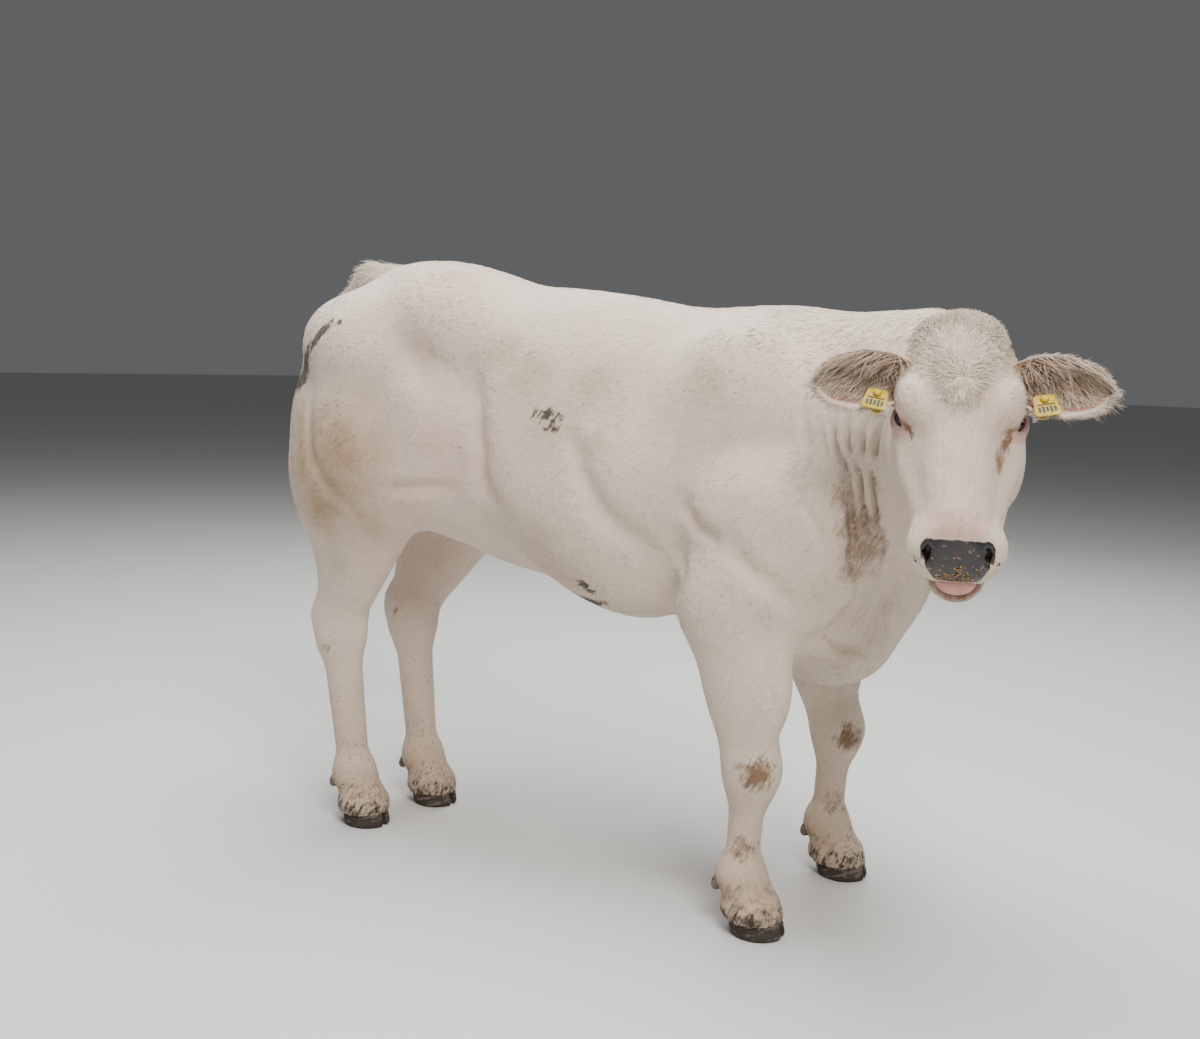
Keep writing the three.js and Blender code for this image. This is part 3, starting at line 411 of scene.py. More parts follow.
def addMask(obj, name, values):
    layer = obj.data.attributes.new(name, "FLOAT", "POINT")
    layer.data.foreach_set("value", np.asarray(values, np.float32))


print("drawing the skin")
body, between, fine = skinGrid["trunkStep"], skinGrid["neckStep"], skinGrid["headStep"]
xs = gridLine((-860, 580, body), (580, 770, between), (770, 1030, fine))
ys = gridLine((-570, -250, fine), (-250, -120, between), (-120, 330, body))
zs = gridLine((28, 720, body * 0.8), (720, 1270, fine * 1.15), (1270, 1400, body * 0.8))
value = fieldOnGrid(flesh, xs, ys, zs, skinGrid["band"])
skinPoints, skinQuads = surfaceNets(value, xs, ys, zs)
skinPoints, skinNormals = ontoSurface(flesh, skinPoints, 3.0)
print("skin", len(skinPoints), "points")


# Folds of the skin: points on the animal's right side, width, depth. Each is mirrored to the left,
# where the neck's grooves bunch up in front of the shoulder.
folds = {
    "thighFront": ([(-206, -249, 1093), (-185, -269, 1007), (-171, -277, 921), (-168, -264, 839),
                    (-115, -251, 784)], 24, 17),
    "thighLower": ([(-400, -303, 815), (-318, -283, 824), (-240, -255, 832)], 15, 10),
    "thighRim": ([(-640, -258, 1035), (-628, -270, 960), (-615, -272, 890), (-570, -275, 820),
                  (-500, -275, 765)], 17, 9),
    "rump": ([(-420, -250, 1190), (-350, -262, 1110), (-285, -262, 1010)], 34, 9),
    "ribs": ([(55, -275, 1000), (60, -283, 957), (93, -287, 887), (122, -281, 829), (171, -270, 785),
              (262, -245, 728)], 24, 12),
    "triceps": ([(318, -260, 860), (325, -265, 832), (347, -275, 800), (382, -284, 788),
                 (415, -288, 778)], 17, 10),
    "armFront": ([(430, -290, 782), (474, -285, 731), (514, -262, 702), (540, -200, 650)], 19, 12),
    "armBehind": ([(300, -240, 760), (318, -250, 700), (335, -235, 650)], 18, 8),
    "shoulder": ([(538, -180, 1130), (550, -214, 1021), (566, -244, 927), (575, -265, 861),
                  (600, -235, 790)], 9, 7),
    "brisketSide": ([(660, -150, 740), (640, -135, 670), (590, -120, 622), (540, -110, 600)], 14, 15),
    "brisketFront": ([(705, -120, 715), (676, -95, 650), (640, -60, 600)], 13, 14),
    "brisketLow": ([(560, -140, 590), (600, -110, 570), (650, -60, 566)], 11, 11),
}
neckFolds = {"count": 11, "width": 5.4, "depth": 12.0, "bend": 6}


def nearestOn(points, q):
    return points[np.argmin(((points - np.array(q)) ** 2).sum(1))]


def strokeEffect(points, line):
    line = np.array(line, float)
    low, high = line.min(0) - 90, line.max(0) + 90
    near = np.flatnonzero(((points > low) & (points < high)).all(1))
    p = points[near]
    best = np.full(len(near), 1e9)
    place = np.zeros(len(near))
    lengths = np.linalg.norm(np.diff(line, axis=0), axis=1)
    starts = np.concatenate([[0], np.cumsum(lengths)])
    for i, length in enumerate(lengths):
        along = (line[i + 1] - line[i]) / length
        t = np.clip((p - line[i]) @ along, 0, length)
        away = np.linalg.norm(p - line[i] - t[:, None] * along, axis=1)
        closer = away < best
        best = np.where(closer, away, best)
        place = np.where(closer, (starts[i] + t) / starts[-1], place)
    return near, best, place


def carve(points, normals, line, width, depth):
    for side in (1, -1):
        corners = np.array([(x, y * side, z) for x, y, z in line], float)
        onSkin = []
        for a, b in zip(corners, corners[1:]):
            onSkin += [nearestOn(points, a + t * (b - a)) for t in (0, 0.5)]
        onSkin.append(nearestOn(points, corners[-1]))
        near, away, place = strokeEffect(points, onSkin)
        strength = np.sin(np.pi * np.clip(place, 0.03, 0.97)) ** 0.6
        groove = -depth * np.exp(-(away / width) ** 2)
        ridge = 0.20 * depth * np.exp(-((away - 2.2 * width) / (1.4 * width)) ** 2)
        points[near] += normals[near] * ((groove + ridge) * strength)[:, None]


print("carving the folds")
for line, width, depth in folds.values():
    carve(skinPoints, skinNormals, line, width, depth)
for i in range(neckFolds["count"]):
    t = i / (neckFolds["count"] - 1)
    bend = neckFolds["bend"] * math.sin(i * 2.1)
    line = [(600 + 130 * t, -215 - 45 * t, 1045 - 10 * t),
            (628 + 84 * t + bend, -226 + 12 * t, 930 - 6 * t),
            (640 + 62 * t, -205 + 22 * t, 800 - 8 * t),
            (630 + 55 * t, -180 + 22 * t, 740 - 10 * t)]
    deep = neckFolds["depth"] * (0.7 + 0.5 * abs(math.sin(i * 1.7)))
    carve(skinPoints, skinNormals, line, neckFolds["width"], deep)


coatDepth = 2.5  # the skin is drawn in by this under the coat, but not at the face and the feet
fromPoll = np.linalg.norm(skinPoints - headOrigin, axis=1)
covered = np.clip((fromPoll - 380) / 180, 0, 1) * np.clip((skinPoints[:, 2] - 70) / 50, 0, 1)
skinPoints -= skinNormals * (coatDepth * covered)[:, None]

# The nose pad: wings raised round the nostrils and a shallow groove down the middle
padShape = {"wingHeight": 3.4, "wingAt": 40, "wingWidth": 11, "grooveDepth": 2.6, "grooveWidth": 5}
padH = toHead(skinPoints)
padAcross = np.abs(padH[:, 1])
onPad = np.clip((padH[:, 0] - muzzleEnd + 30) / 20, 0, 1) * (padH[:, 2] > -118) * (padAcross < 90)
rise = (padShape["wingHeight"] * np.exp(-((padAcross - padShape["wingAt"]) / padShape["wingWidth"]) ** 2)
        - padShape["grooveDepth"] * np.exp(-(padH[:, 1] / padShape["grooveWidth"]) ** 2))
skinPoints += skinNormals * (rise * onPad)[:, None]


# Markings, in the same millimetres. Spots give a place, size and amount; in the head's own axes for
# the second dictionary. Strokes give their points, width and amount.
spots = {
    "tan": [((350, -225, 1085), 46, 0.5), ((125, -283, 952), 30, 0.5), ((-60, -262, 1090), 70, 0.6),
            ((100, -258, 1080), 54, 0.55), ((-130, -235, 1140), 50, 0.55), ((10, -278, 985), 60, 0.35),
            ((-330, -140, 1268), 34, 0.5), ((-528, -303, 889), 140, 1.2), ((-610, -262, 860), 110, 1.15),
            ((-590, -262, 780), 100, 1.05), ((-470, -270, 740), 80, 0.6), ((-590, -200, 640), 50, 0.35),
            ((0, -262, 700), 110, 0.3), ((620, -110, 575), 60, 0.4)],
    "stainAndShade": [((640, -225, 880), 34, 0.6), ((655, -205, 830), 40, 0.9), ((664, -192, 778), 42, 1.0),
              ((662, -180, 735), 34, 0.7), ((-640, -262, 1120), 40, 0.4)],
    "rust": [((486, -232, 325), 37, 1.0), ((540, 170, 316), 34, 1.0), ((-640, -178, 410), 13, 0.8),
             ((-600, 60, 470), 16, 0.5), ((452, -210, 168), 30, 0.6), ((520, 170, 160), 30, 0.6)],
    "mud": [((-560, -268, 1190), 9, 0.8)],
    "speck": [((-560, -280, 1160), 95, 0.8), ((-470, -230, 1210), 80, 0.5), ((-640, -190, 1150), 60, 0.7),
              ((-430, -303, 1020), 40, 0.4), ((700, -250, 1040), 26, 0.5)],
}
headSpots = {
    "tan": [((20, 0, -30), 74, 0.62), ((60, 70, -40), 48, 0.55), ((60, -70, -40), 48, 0.55),
            ((120, 0, -20), 60, 0.4), ((250, 0, -20), 70, 0.2), ((240, 50, -40), 34, 0.35),
            ((445, 0, -160), 34, 0.7)],
    # Of the stain spots, the one by the eye is a tear stain. The three at the mouth are painted shade in the gap
    # between the lips and at its corners
    "stainAndShade": [((205, 84, -42), 16, 0.6), ((430, 0, -140), 46, 0.8), ((400, 60, -130), 26, 0.6),
              ((400, -60, -130), 26, 0.6)],
    "rust": [((222, 80, -44), 12, 0.8)],
}
for name, rows in headSpots.items():
    spots[name] += [(fromHead(at), size, amount) for at, size, amount in rows]
for name, rows in spots.items():
    spots[name] = [(nearestOn(skinPoints, at), size, amount) for at, size, amount in rows]

strokes = {
    "mud": [([(-722, -150, 1010), (-706, -190, 1046), (-690, -214, 1078), (-668, -236, 1108),
              (-640, -252, 1136)], 24, 1.0),
            ([(-640, -252, 1136), (-612, -262, 1162), (-584, -262, 1186)], 14, 0.95),
            ([(-24, -278, 1010), (6, -278, 1004), (42, -278, 992)], 19, 0.66),
            ([(-14, -278, 984), (34, -278, 978)], 12, 0.56),
            ([(52, -176, 640), (84, -176, 630), (122, -186, 640)], 16, 0.95),
            ([(80, -214, 676), (108, -200, 654)], 11, 0.9)],
    "rust": [(fromHead([(188, 88, -40), (206, 84, -42), (236, 76, -46), (262, 74, -52)]), 10, 1.0),
             (fromHead([(176, -92, -40), (190, -88, -42), (212, -84, -44)]), 7, 1.0)],
    "tan": [([(-700, -190, 1010), (-690, -215, 940), (-672, -215, 860), (-650, -205, 780)], 70, 0.8)],
}


def softSpots(points, rows):
    total = np.zeros(len(points))
    for at, size, amount in rows:
        d2 = ((points - np.array(at)) ** 2).sum(1) / size ** 2
        total = np.maximum(total, amount * np.exp(-d2 ** 1.3))
    return total


def smooth(low, high, value):
    t = np.clip((value - low) / (high - low), 0, 1)
    return t * t * (3 - 2 * t)


def legOf(points):
    away = np.stack([np.hypot(points[:, 0] - x, points[:, 1] - y) for x, y in feet.values()], 1)
    return away.argmin(1), away.min(1)


def noseMask(h):
    top, low = np.array([muzzleEnd - 8, -45]), np.array([muzzleEnd + 35, -105])
    along = low - top
    v = ((h[:, 0] - top[0]) * along[0] + (h[:, 2] - top[1]) * along[1]) / (along @ along)
    half = np.interp(v, [-0.1, 0.0, 0.1, 0.22, 0.45, 0.75, 1.1], [34, 46, 56, 61, 60, 47, 34])
    topEdge = 0.03 * np.cos(h[:, 1] / 61 * math.pi)
    inside = np.minimum((half - np.abs(h[:, 1])) / 6, (v + 0.02 + topEdge) * 10)
    inside = np.minimum(inside, (1.12 - v) * 10)
    return smooth(-0.5, 0.9, inside) * (h[:, 0] > muzzleEnd - 30)


def eyeDistance(h):
    return np.minimum(*[np.linalg.norm(h - eyeCentre(side), axis=1) for side in (-1, 1)])


def markings(points):
    h = toHead(points)
    inHead = (h[:, 0] > -30) & (np.abs(h[:, 1]) < 150) & (h[:, 2] > -260)
    marks = {name: softSpots(points, rows) for name, rows in spots.items()}
    for name, rows in strokes.items():
        for line, width, amount in rows:
            onSkin = [nearestOn(skinPoints, q) for q in line]
            near, away, place = strokeEffect(points, onSkin)
            strength = amount * np.exp(-(away / width) ** 2.4) * (0.55 + 0.45 * np.sin(np.pi * place))
            marks[name][near] = np.maximum(marks[name][near], strength)
    leg, away = legOf(points)
    low = points[:, 2]
    onLeg = away < 150
    hind = leg >= 2
    marks["mud"] = np.maximum(marks["mud"], 0.42 * smooth(80, 46, low) * onLeg)
    pastern = 0.34 * smooth(150, 80, low) + 0.2 * smooth(60, 0, np.abs(low - 175))
    marks["rust"] = np.maximum(marks["rust"], pastern * onLeg)
    marks["speck"] = np.maximum(marks["speck"], smooth(520, 300, low) * onLeg * np.where(hind, 0.8, 0.35))
    marks["tan"] = np.maximum(marks["tan"], 0.16 * inHead * smooth(400, 300, h[:, 0]))
    shin = 0.35 * smooth(420, 200, low) + 0.3 * smooth(170, 90, low)
    marks["tan"] = np.maximum(marks["tan"], shin * onLeg)
    eyes = eyeDistance(h)
    marks["nose"] = np.where(inHead, noseMask(h), 0)
    marks["lid"] = smooth(27.5, 23.5, eyes) * inHead
    pink = (0.9 * smooth(40, 8, np.abs(h[:, 0] - (muzzleEnd - 14))) * smooth(62, 30, np.abs(h[:, 1]))
            * (h[:, 2] > -75))
    pink = np.maximum(pink, 0.7 * smooth(42, 30, eyes))
    mouth = smooth(16, 5, np.abs(h[:, 2] + 126)) * (h[:, 0] > muzzleEnd - 10)
    marks["pink"] = np.where(inHead, np.maximum(pink, 0.8 * mouth), 0)
    return marks


whorl = 112  # how far below the poll the forehead's hair parts


# The lie of the hair, as a direction along the skin
def hairLie(points, normals):
    h = toHead(points)
    n = len(points)
    way = np.tile(np.array([-0.84, 0.0, -0.54]), (n, 1))
    down = smooth(700, 520, points[:, 2]) * smooth(190, 120, legOf(points)[1])
    way = way * (1 - down[:, None]) + np.array([-0.12, 0, -1.0]) * down[:, None]
    tailward = (smooth(-750, -785, points[:, 0]) * smooth(1250, 1150, points[:, 2]))[:, None]
    way = way * (1 - tailward) + np.array([-0.06, 0, -1.0]) * tailward
    neckward = smooth(560, 720, points[:, 0])
    way += neckward[:, None] * np.array([0.3, 0.25, -0.5])
    out = np.stack([h[:, 0] - whorl, h[:, 1] * 1.1, -np.abs(h[:, 1]) * 0.45 - 4], 1)
    out[:, 0] += np.where(h[:, 0] > whorl, 25, 0)
    out /= np.linalg.norm(out, axis=1, keepdims=True) + 1e-6
    onHead = smooth(-20, 15, h[:, 0]) * smooth(150, 125, np.abs(h[:, 1])) * smooth(-260, -200, h[:, 2])
    onHead = onHead * (np.linalg.norm(points - headOrigin, axis=1) < 560)
    way = way * (1 - onHead[:, None]) + (out @ headTurn.T) * onHead[:, None]
    way -= normals * (way * normals).sum(1, keepdims=True)
    return way / (np.linalg.norm(way, axis=1, keepdims=True) + 1e-6)


def onFace(points, h):
    return (h[:, 0] > -10) & (np.abs(h[:, 1]) < 140) & (h[:, 2] > -230) & (points[:, 0] > 740)


# Coordinates that run slowly along the hair and fast across it, in metres
def combCoordinates(points):
    h = toHead(points)
    along = np.array([-0.52, 0, -0.854])
    side = np.array([0.854, 0, -0.52])
    bodyComb = np.stack([points @ along * 0.07, points @ side, points[:, 1]], 1)
    wave = 5 * np.sin(h[:, 0] / 7.0 + 0.05 * h[:, 1]) * smooth(190, 120, h[:, 0])
    headComb = np.stack([h[:, 0] * 0.09, h[:, 1] + wave, h[:, 2]], 1)
    return np.where(onFace(points, h)[:, None], headComb, bodyComb) / 1000


# The unwrap has three parts: the trunk round its length, each leg round its height, and the head
# round the face
def unwrap(points):
    h = toHead(points)
    u = np.clip((points[:, 0] + 860) / 1740, 0.01, 0.99)
    v = 0.35 + 0.3 * (np.arctan2(points[:, 1], points[:, 2] - 930) / (2 * math.pi) + 0.5)
    leg, away = legOf(points)
    onLeg = (points[:, 2] < 600) & (away < 190)
    foot = np.array(list(feet.values()))[leg]
    turned = np.arctan2(points[:, 1] - foot[:, 1], points[:, 0] - foot[:, 0]) / (2 * math.pi) + 0.5
    u = np.where(onLeg, 0.25 * leg + 0.01 + 0.23 * turned, u)
    v = np.where(onLeg, 0.01 + 0.31 * points[:, 2] / 600, v)
    onHead = onFace(points, h)
    aroundFace = np.arctan2(h[:, 1], h[:, 2] + 100) / (2 * math.pi) + 0.5
    u = np.where(onHead, 0.01 + 0.47 * np.clip(h[:, 0] / 480, 0, 1), u)
    v = np.where(onHead, 0.67 + 0.31 * aroundFace, v)
    return np.stack([u, v], 1)


markNames = ["tan", "stainAndShade", "rust", "mud", "speck", "nose", "lid", "pink"]


def addMarks(obj, marks):
    for name in markNames:
        if name in marks:
            addMask(obj, name, marks[name])


def addComb(obj, comb):
    layer = obj.data.attributes.new("comb", "FLOAT_VECTOR", "POINT")
    layer.data.foreach_set("vector", np.asarray(comb, np.float32).ravel())


# Materials
def newMaterial(name, roughness, looks={}):
    material = bpy.data.materials.new(name)
    material.use_nodes = True
    shader = material.node_tree.nodes["Principled BSDF"]
    shader.inputs["Roughness"].default_value = roughness
    for socket, amount in looks.items():
        shader.inputs[socket].default_value = amount
    return material, material.node_tree, shader


# Links a socket, or sets a number or a colour
def feed(tree, socket, value):
    if hasattr(value, "is_output"):
        tree.links.new(value, socket)
    else:
        socket.default_value = (*value, 1) if isinstance(value, tuple) else value


def node(tree, kind, **inputs):
    made = tree.nodes.new(kind)
    for name, value in inputs.items():
        feed(tree, made.inputs[name], value)
    return made


def objectPlace(tree):
    return tree.nodes.new("ShaderNodeTexCoord").outputs["Object"]


def attribute(tree, name):
    made = tree.nodes.new("ShaderNodeAttribute")
    made.attribute_name = name
    return made.outputs["Vector" if name == "comb" else "Fac"]


def maths(tree, operation, a, b=0.5, clamp=False):
    made = tree.nodes.new("ShaderNodeMath")
    made.operation = operation
    made.use_clamp = clamp
    for i, value in enumerate((a, b)):
        feed(tree, made.inputs[i], value)
    return made.outputs[0]


# How far a value is above low, times gain, kept between 0 and 1
def above(tree, value, low, gain):
    return maths(tree, "MULTIPLY", maths(tree, "SUBTRACT", value, low), gain, True)


def mixColor(tree, amount, a, b, kind="MIX"):
    made = tree.nodes.new("ShaderNodeMix")
    made.data_type = "RGBA"
    made.blend_type = kind
    for i, value in ((0, amount), (6, a), (7, b)):
        feed(tree, made.inputs[i], value)
    return made.outputs[2]


def noise(tree, vector, scale, detail=3.0, rough=0.55):
    made = node(tree, "ShaderNodeTexNoise", Vector=vector, Scale=scale, Detail=detail, Roughness=rough)
    return made.outputs["Fac"]


def addBump(tree, shader, height, strength, distance):
    bump = node(tree, "ShaderNodeBump", Height=height, Strength=strength, Distance=distance)
    tree.links.new(bump.outputs["Normal"], shader.inputs["Normal"])


def newGroup(name, inputs, outputs):
    tree = bpy.data.node_groups.new(name, "ShaderNodeTree")
    for label, kind, default in inputs:
        socket = tree.interface.new_socket(label, in_out="INPUT", socket_type=kind)
        if default is not None:
            socket.default_value = default
    for label, kind in outputs:
        tree.interface.new_socket(label, in_out="OUTPUT", socket_type=kind)
    return tree, tree.nodes.new("NodeGroupInput").outputs, tree.nodes.new("NodeGroupOutput").inputs


floatSocket, vectorSocket, colorSocket = "NodeSocketFloat", "NodeSocketVector", "NodeSocketColor"


# Hair streaks: fine and coarse streaks along the comb coordinates
def makeHairStreaks():
    tree, given, out = newGroup("hairStreaks", [
        ("Comb", vectorSocket, None), ("Fineness", floatSocket, 420.0), ("Clumping", floatSocket, 0.5)],
        [("Height", floatSocket), ("Tint", floatSocket)])
    fine = noise(tree, given["Comb"], given["Fineness"], 3.0, 0.65)
    coarse = noise(tree, given["Comb"], maths(tree, "MULTIPLY", given["Fineness"], 0.28), 2.0, 0.5)
    height = maths(tree, "ADD", fine, maths(tree, "MULTIPLY", coarse, given["Clumping"]))
    tree.links.new(height, out["Height"])
    tree.links.new(above(tree, height, 0.42, 1.6), out["Tint"])
    return tree


# the stain colour is a real brown stain, and at the mouth it is painted shade
dirtAndShadeLook = {"stainAndShade": (0.24, 0.155, 0.085), "rust": (0.14, 0.060, 0.018), "mud": (0.030, 0.024, 0.018)}


# Soiling: brown stain, rust, mud and flecks laid over a base colour, each ragged at its edge. The stain also
# carries the painted shade in the mouth's gap
def makeSoilingAndShade():
    tree, given, out = newGroup("soilingAndShade", [
        ("Base", colorSocket, None), ("Rust", floatSocket, 0.0), ("Stain", floatSocket, 0.0),
        ("Mud", floatSocket, 0.0), ("Speck", floatSocket, 0.0), ("Comb", vectorSocket, None)],
        [("Color", colorSocket), ("Dirt", floatSocket)])
    place = objectPlace(tree)
    ragged = noise(tree, place, 60.0, 4.0, 0.65)
    streak = noise(tree, given["Comb"], 160.0, 3.0, 0.6)
    both = maths(tree, "ADD", maths(tree, "MULTIPLY", ragged, 0.5), maths(tree, "MULTIPLY", streak, 0.5))

    def cut(mask, low, gain):
        rough = maths(tree, "MULTIPLY", maths(tree, "SUBTRACT", both, 0.5), 3.2)
        raised = above(tree, maths(tree, "ADD", mask, rough), low, gain)
        return maths(tree, "MULTIPLY", raised, maths(tree, "MULTIPLY", mask, 4.0, True))
    # stain: real stains, and the painted shade at the mouth
    stainAndShade = maths(tree, "MULTIPLY", cut(given["Stain"], 0.12, 1.3), 0.75)
    color = mixColor(tree, stainAndShade, given["Base"], dirtAndShadeLook["stainAndShade"])
    rust = maths(tree, "MULTIPLY", cut(given["Rust"], 0.22, 1.5), 0.85)
    color = mixColor(tree, rust, color, dirtAndShadeLook["rust"])
    mud = cut(given["Mud"], 0.28, 3.0)
    flecks = noise(tree, place, 210.0, 2.0, 0.5)
    size = maths(tree, "SUBTRACT", 0.80, maths(tree, "MULTIPLY", given["Speck"], 0.165))
    specked = maths(tree, "GREATER_THAN", given["Speck"], 0.12)
    fleck = maths(tree, "MULTIPLY", above(tree, flecks, size, 30.0), specked)
    dirt = maths(tree, "MAXIMUM", mud, fleck)
    color = mixColor(tree, maths(tree, "MULTIPLY", dirt, 0.92), color, dirtAndShadeLook["mud"])
    tree.links.new(color, out["Color"])
    tree.links.new(dirt, out["Dirt"])
    return tree


hairStreaks = makeHairStreaks()
soilingAndShade = makeSoilingAndShade()


def placeGroup(tree, shared, **inputs):
    made = tree.nodes.new("ShaderNodeGroup")
    made.node_tree = shared
    for name, value in inputs.items():
        feed(tree, made.inputs[name], value)
    return made.outputs


coatLook = {
    "cream": (0.80, 0.68, 0.56),
    # pale lightens the hair: partly painted light against the shade the tufts cast on one another
    "pale": (0.95, 0.90, 0.82),
    "pinkish": (0.76, 0.57, 0.48),
    "shaded": (0.50, 0.38, 0.28),
    "tan": (0.38, 0.255, 0.135),
    "skinPink": (0.52, 0.27, 0.23),
    "nose": (0.013, 0.010, 0.011),
    "noseSpots": (0.30, 0.15, 0.14),
    "lid": (0.10, 0.045, 0.038),
    "tipTone": (0.60, 0.43, 0.26),
}


def makeCoat(name, onSkin):
    dry = 0.82
    material, tree, shader = newMaterial(name, dry, {"Sheen Weight": 0.12, "Sheen Roughness": 0.5,
                                                     "Specular IOR Level": 0.25})
    place = objectPlace(tree)
    comb = attribute(tree, "comb")
    streaks = placeGroup(tree, hairStreaks, Comb=comb, Fineness=520.0 if onSkin else 300.0, Clumping=0.6)
    broad = noise(tree, place, 3.2, 3.0)
    blotch = noise(tree, place, 11.0, 4.0, 0.6)
    base = mixColor(tree, above(tree, broad, 0.40, 3.4), coatLook["cream"], coatLook["pinkish"])
    # The hair is made paler than the skin. This is partly painted light that makes up for the shade the tufts cast
    # on one another, and partly to set the strands off against the skin
    if not onSkin:
        base = mixColor(tree, 0.5, base, coatLook["pale"])
    shade = maths(tree, "MULTIPLY", streaks["Tint"], 0.5 if onSkin else 0.30)
    base = mixColor(tree, shade, base, coatLook["shaded"])
    uneven = maths(tree, "ADD", maths(tree, "MULTIPLY", blotch, 1.1), 0.05)
    tanned = maths(tree, "MULTIPLY", attribute(tree, "tan"), uneven)
    base = mixColor(tree, maths(tree, "MULTIPLY", tanned, 1.15, True), base, coatLook["tan"])
    pink = maths(tree, "MULTIPLY", attribute(tree, "pink"), maths(tree, "ADD", 0.35, blotch))
    base = mixColor(tree, maths(tree, "MULTIPLY", pink, 0.8, True), base, coatLook["skinPink"])
    # the stain mask also lays painted shade into the mouth's gap
    dirty = placeGroup(tree, soilingAndShade, Base=base, Rust=attribute(tree, "rust"), Stain=attribute(tree, "stainAndShade"),
                       Mud=attribute(tree, "mud"), Speck=attribute(tree, "speck"), Comb=comb)
    color = dirty["Color"]
    grain = noise(tree, place, 900.0, 2.0)
    height = maths(tree, "ADD", streaks["Height"], maths(tree, "MULTIPLY", grain, 0.25))
    if not onSkin:
        tone = maths(tree, "MULTIPLY", attribute(tree, "tone"), maths(tree, "ADD", 0.35, attribute(tree, "tan")))
        darker = mixColor(tree, 1.0, color, coatLook["tipTone"], "MULTIPLY")
        color = mixColor(tree, maths(tree, "MULTIPLY", tone, 1.0, True), color, darker)
    else:
        lid = attribute(tree, "lid")
        color = mixColor(tree, maths(tree, "MULTIPLY", lid, 0.95), color, coatLook["lid"])
        ragged = noise(tree, place, 130.0, 3.0)
        edge = maths(tree, "ADD", attribute(tree, "nose"), maths(tree, "MULTIPLY", ragged, 0.5))
        wet = above(tree, edge, 0.62, 6.0)
        paleSpots = above(tree, noise(tree, place, 85.0, 2.0), 0.64, 10.0)
        pad = mixColor(tree, maths(tree, "MULTIPLY", paleSpots, 0.75), coatLook["nose"], coatLook["noseSpots"])
        color = mixColor(tree, wet, color, pad)
        cells = node(tree, "ShaderNodeTexVoronoi", Vector=place, Scale=330.0)
        cells.feature = "SMOOTH_F1"
        pebble = maths(tree, "MULTIPLY", cells.outputs["Distance"], -1.6)
        keep = maths(tree, "SUBTRACT", 1.0, wet)
        height = maths(tree, "ADD", maths(tree, "MULTIPLY", height, keep), maths(tree, "MULTIPLY", pebble, wet))
        moist = maths(tree, "MAXIMUM", wet, maths(tree, "MULTIPLY", lid, 0.9))
        rough = maths(tree, "SUBTRACT", dry, maths(tree, "MULTIPLY", moist, 0.56))
        wrinkles = noise(tree, place, 46.0, 3.0, 0.6)
        height = maths(tree, "ADD", height, maths(tree, "MULTIPLY", wrinkles, 1.5))
        tree.links.new(rough, shader.inputs["Roughness"])
        tree.links.new(maths(tree, "MULTIPLY", wet, 0.75), shader.inputs["Coat Weight"])
        shader.inputs["Coat Roughness"].default_value = 0.22
    tree.links.new(color, shader.inputs["Base Color"])
    addBump(tree, shader, height, 0.9, 0.0026)
    return material


coatMaterial = makeCoat("coat", True)
hairMaterial = makeCoat("coatHair", False)


# deep: painted shade, near black at the root of the cup
earLook = {"inner": (0.40, 0.20, 0.15), "innerDark": (0.17, 0.085, 0.06), "deep": (0.06, 0.032, 0.022)}


# The ear's skin: cream outside, pink and tan within, with painted shade at its root, where the cup is deepest
def makeEarSkin():
    material, tree, shader = newMaterial("earSkin", 0.75, {"Specular IOR Level": 0.3,
                                                           "Subsurface Weight": 0.08})
    place = objectPlace(tree)
    comb = attribute(tree, "comb")
    streaks = placeGroup(tree, hairStreaks, Comb=comb, Fineness=420.0, Clumping=0.6)
    outer = mixColor(tree, maths(tree, "MULTIPLY", streaks["Tint"], 0.4), coatLook["cream"], coatLook["shaded"])
    inner = mixColor(tree, noise(tree, place, 70.0, 4.0), earLook["inner"], earLook["innerDark"])
    color = mixColor(tree, attribute(tree, "inner"), outer, inner)
    # painted shade in the deepest part of the cup
    color = mixColor(tree, maths(tree, "MULTIPLY", attribute(tree, "deep"), 0.9), color, earLook["deep"])
    tree.links.new(color, shader.inputs["Base Color"])
    addBump(tree, shader, streaks["Height"], 0.5, 0.001)
    return material


eyeLook = {"white": (0.42, 0.30, 0.25), "veins": (0.26, 0.13, 0.10), "iris": (0.055, 0.022, 0.010),
           "rays": (0.018, 0.008, 0.005), "pupil": (0.003, 0.003, 0.005)}


# Eyes: a dark brown iris with a level pupil, a thin rim of white, all under a wet film
def makeEyeMaterial():
    material, tree, shader = newMaterial("eyeball", 0.16, {"Coat Weight": 0.45, "Coat Roughness": 0.05,
                                                           "Specular IOR Level": 0.3})
    iris, pupil = attribute(tree, "iris"), attribute(tree, "pupil")
    place = objectPlace(tree)
    veins = noise(tree, place, 260.0, 3.0)
    white = mixColor(tree, veins, eyeLook["white"], eyeLook["veins"])
    rays = noise(tree, place, 600.0, 2.0)
    brown = mixColor(tree, rays, eyeLook["iris"], eyeLook["rays"])
    color = mixColor(tree, iris, white, brown)
    color = mixColor(tree, pupil, color, eyeLook["pupil"])
    tree.links.new(color, shader.inputs["Base Color"])
    return material


tongueLook = {"pink": (0.66, 0.34, 0.30), "red": (0.50, 0.20, 0.18), "crumbs": (0.45, 0.22, 0.07)}


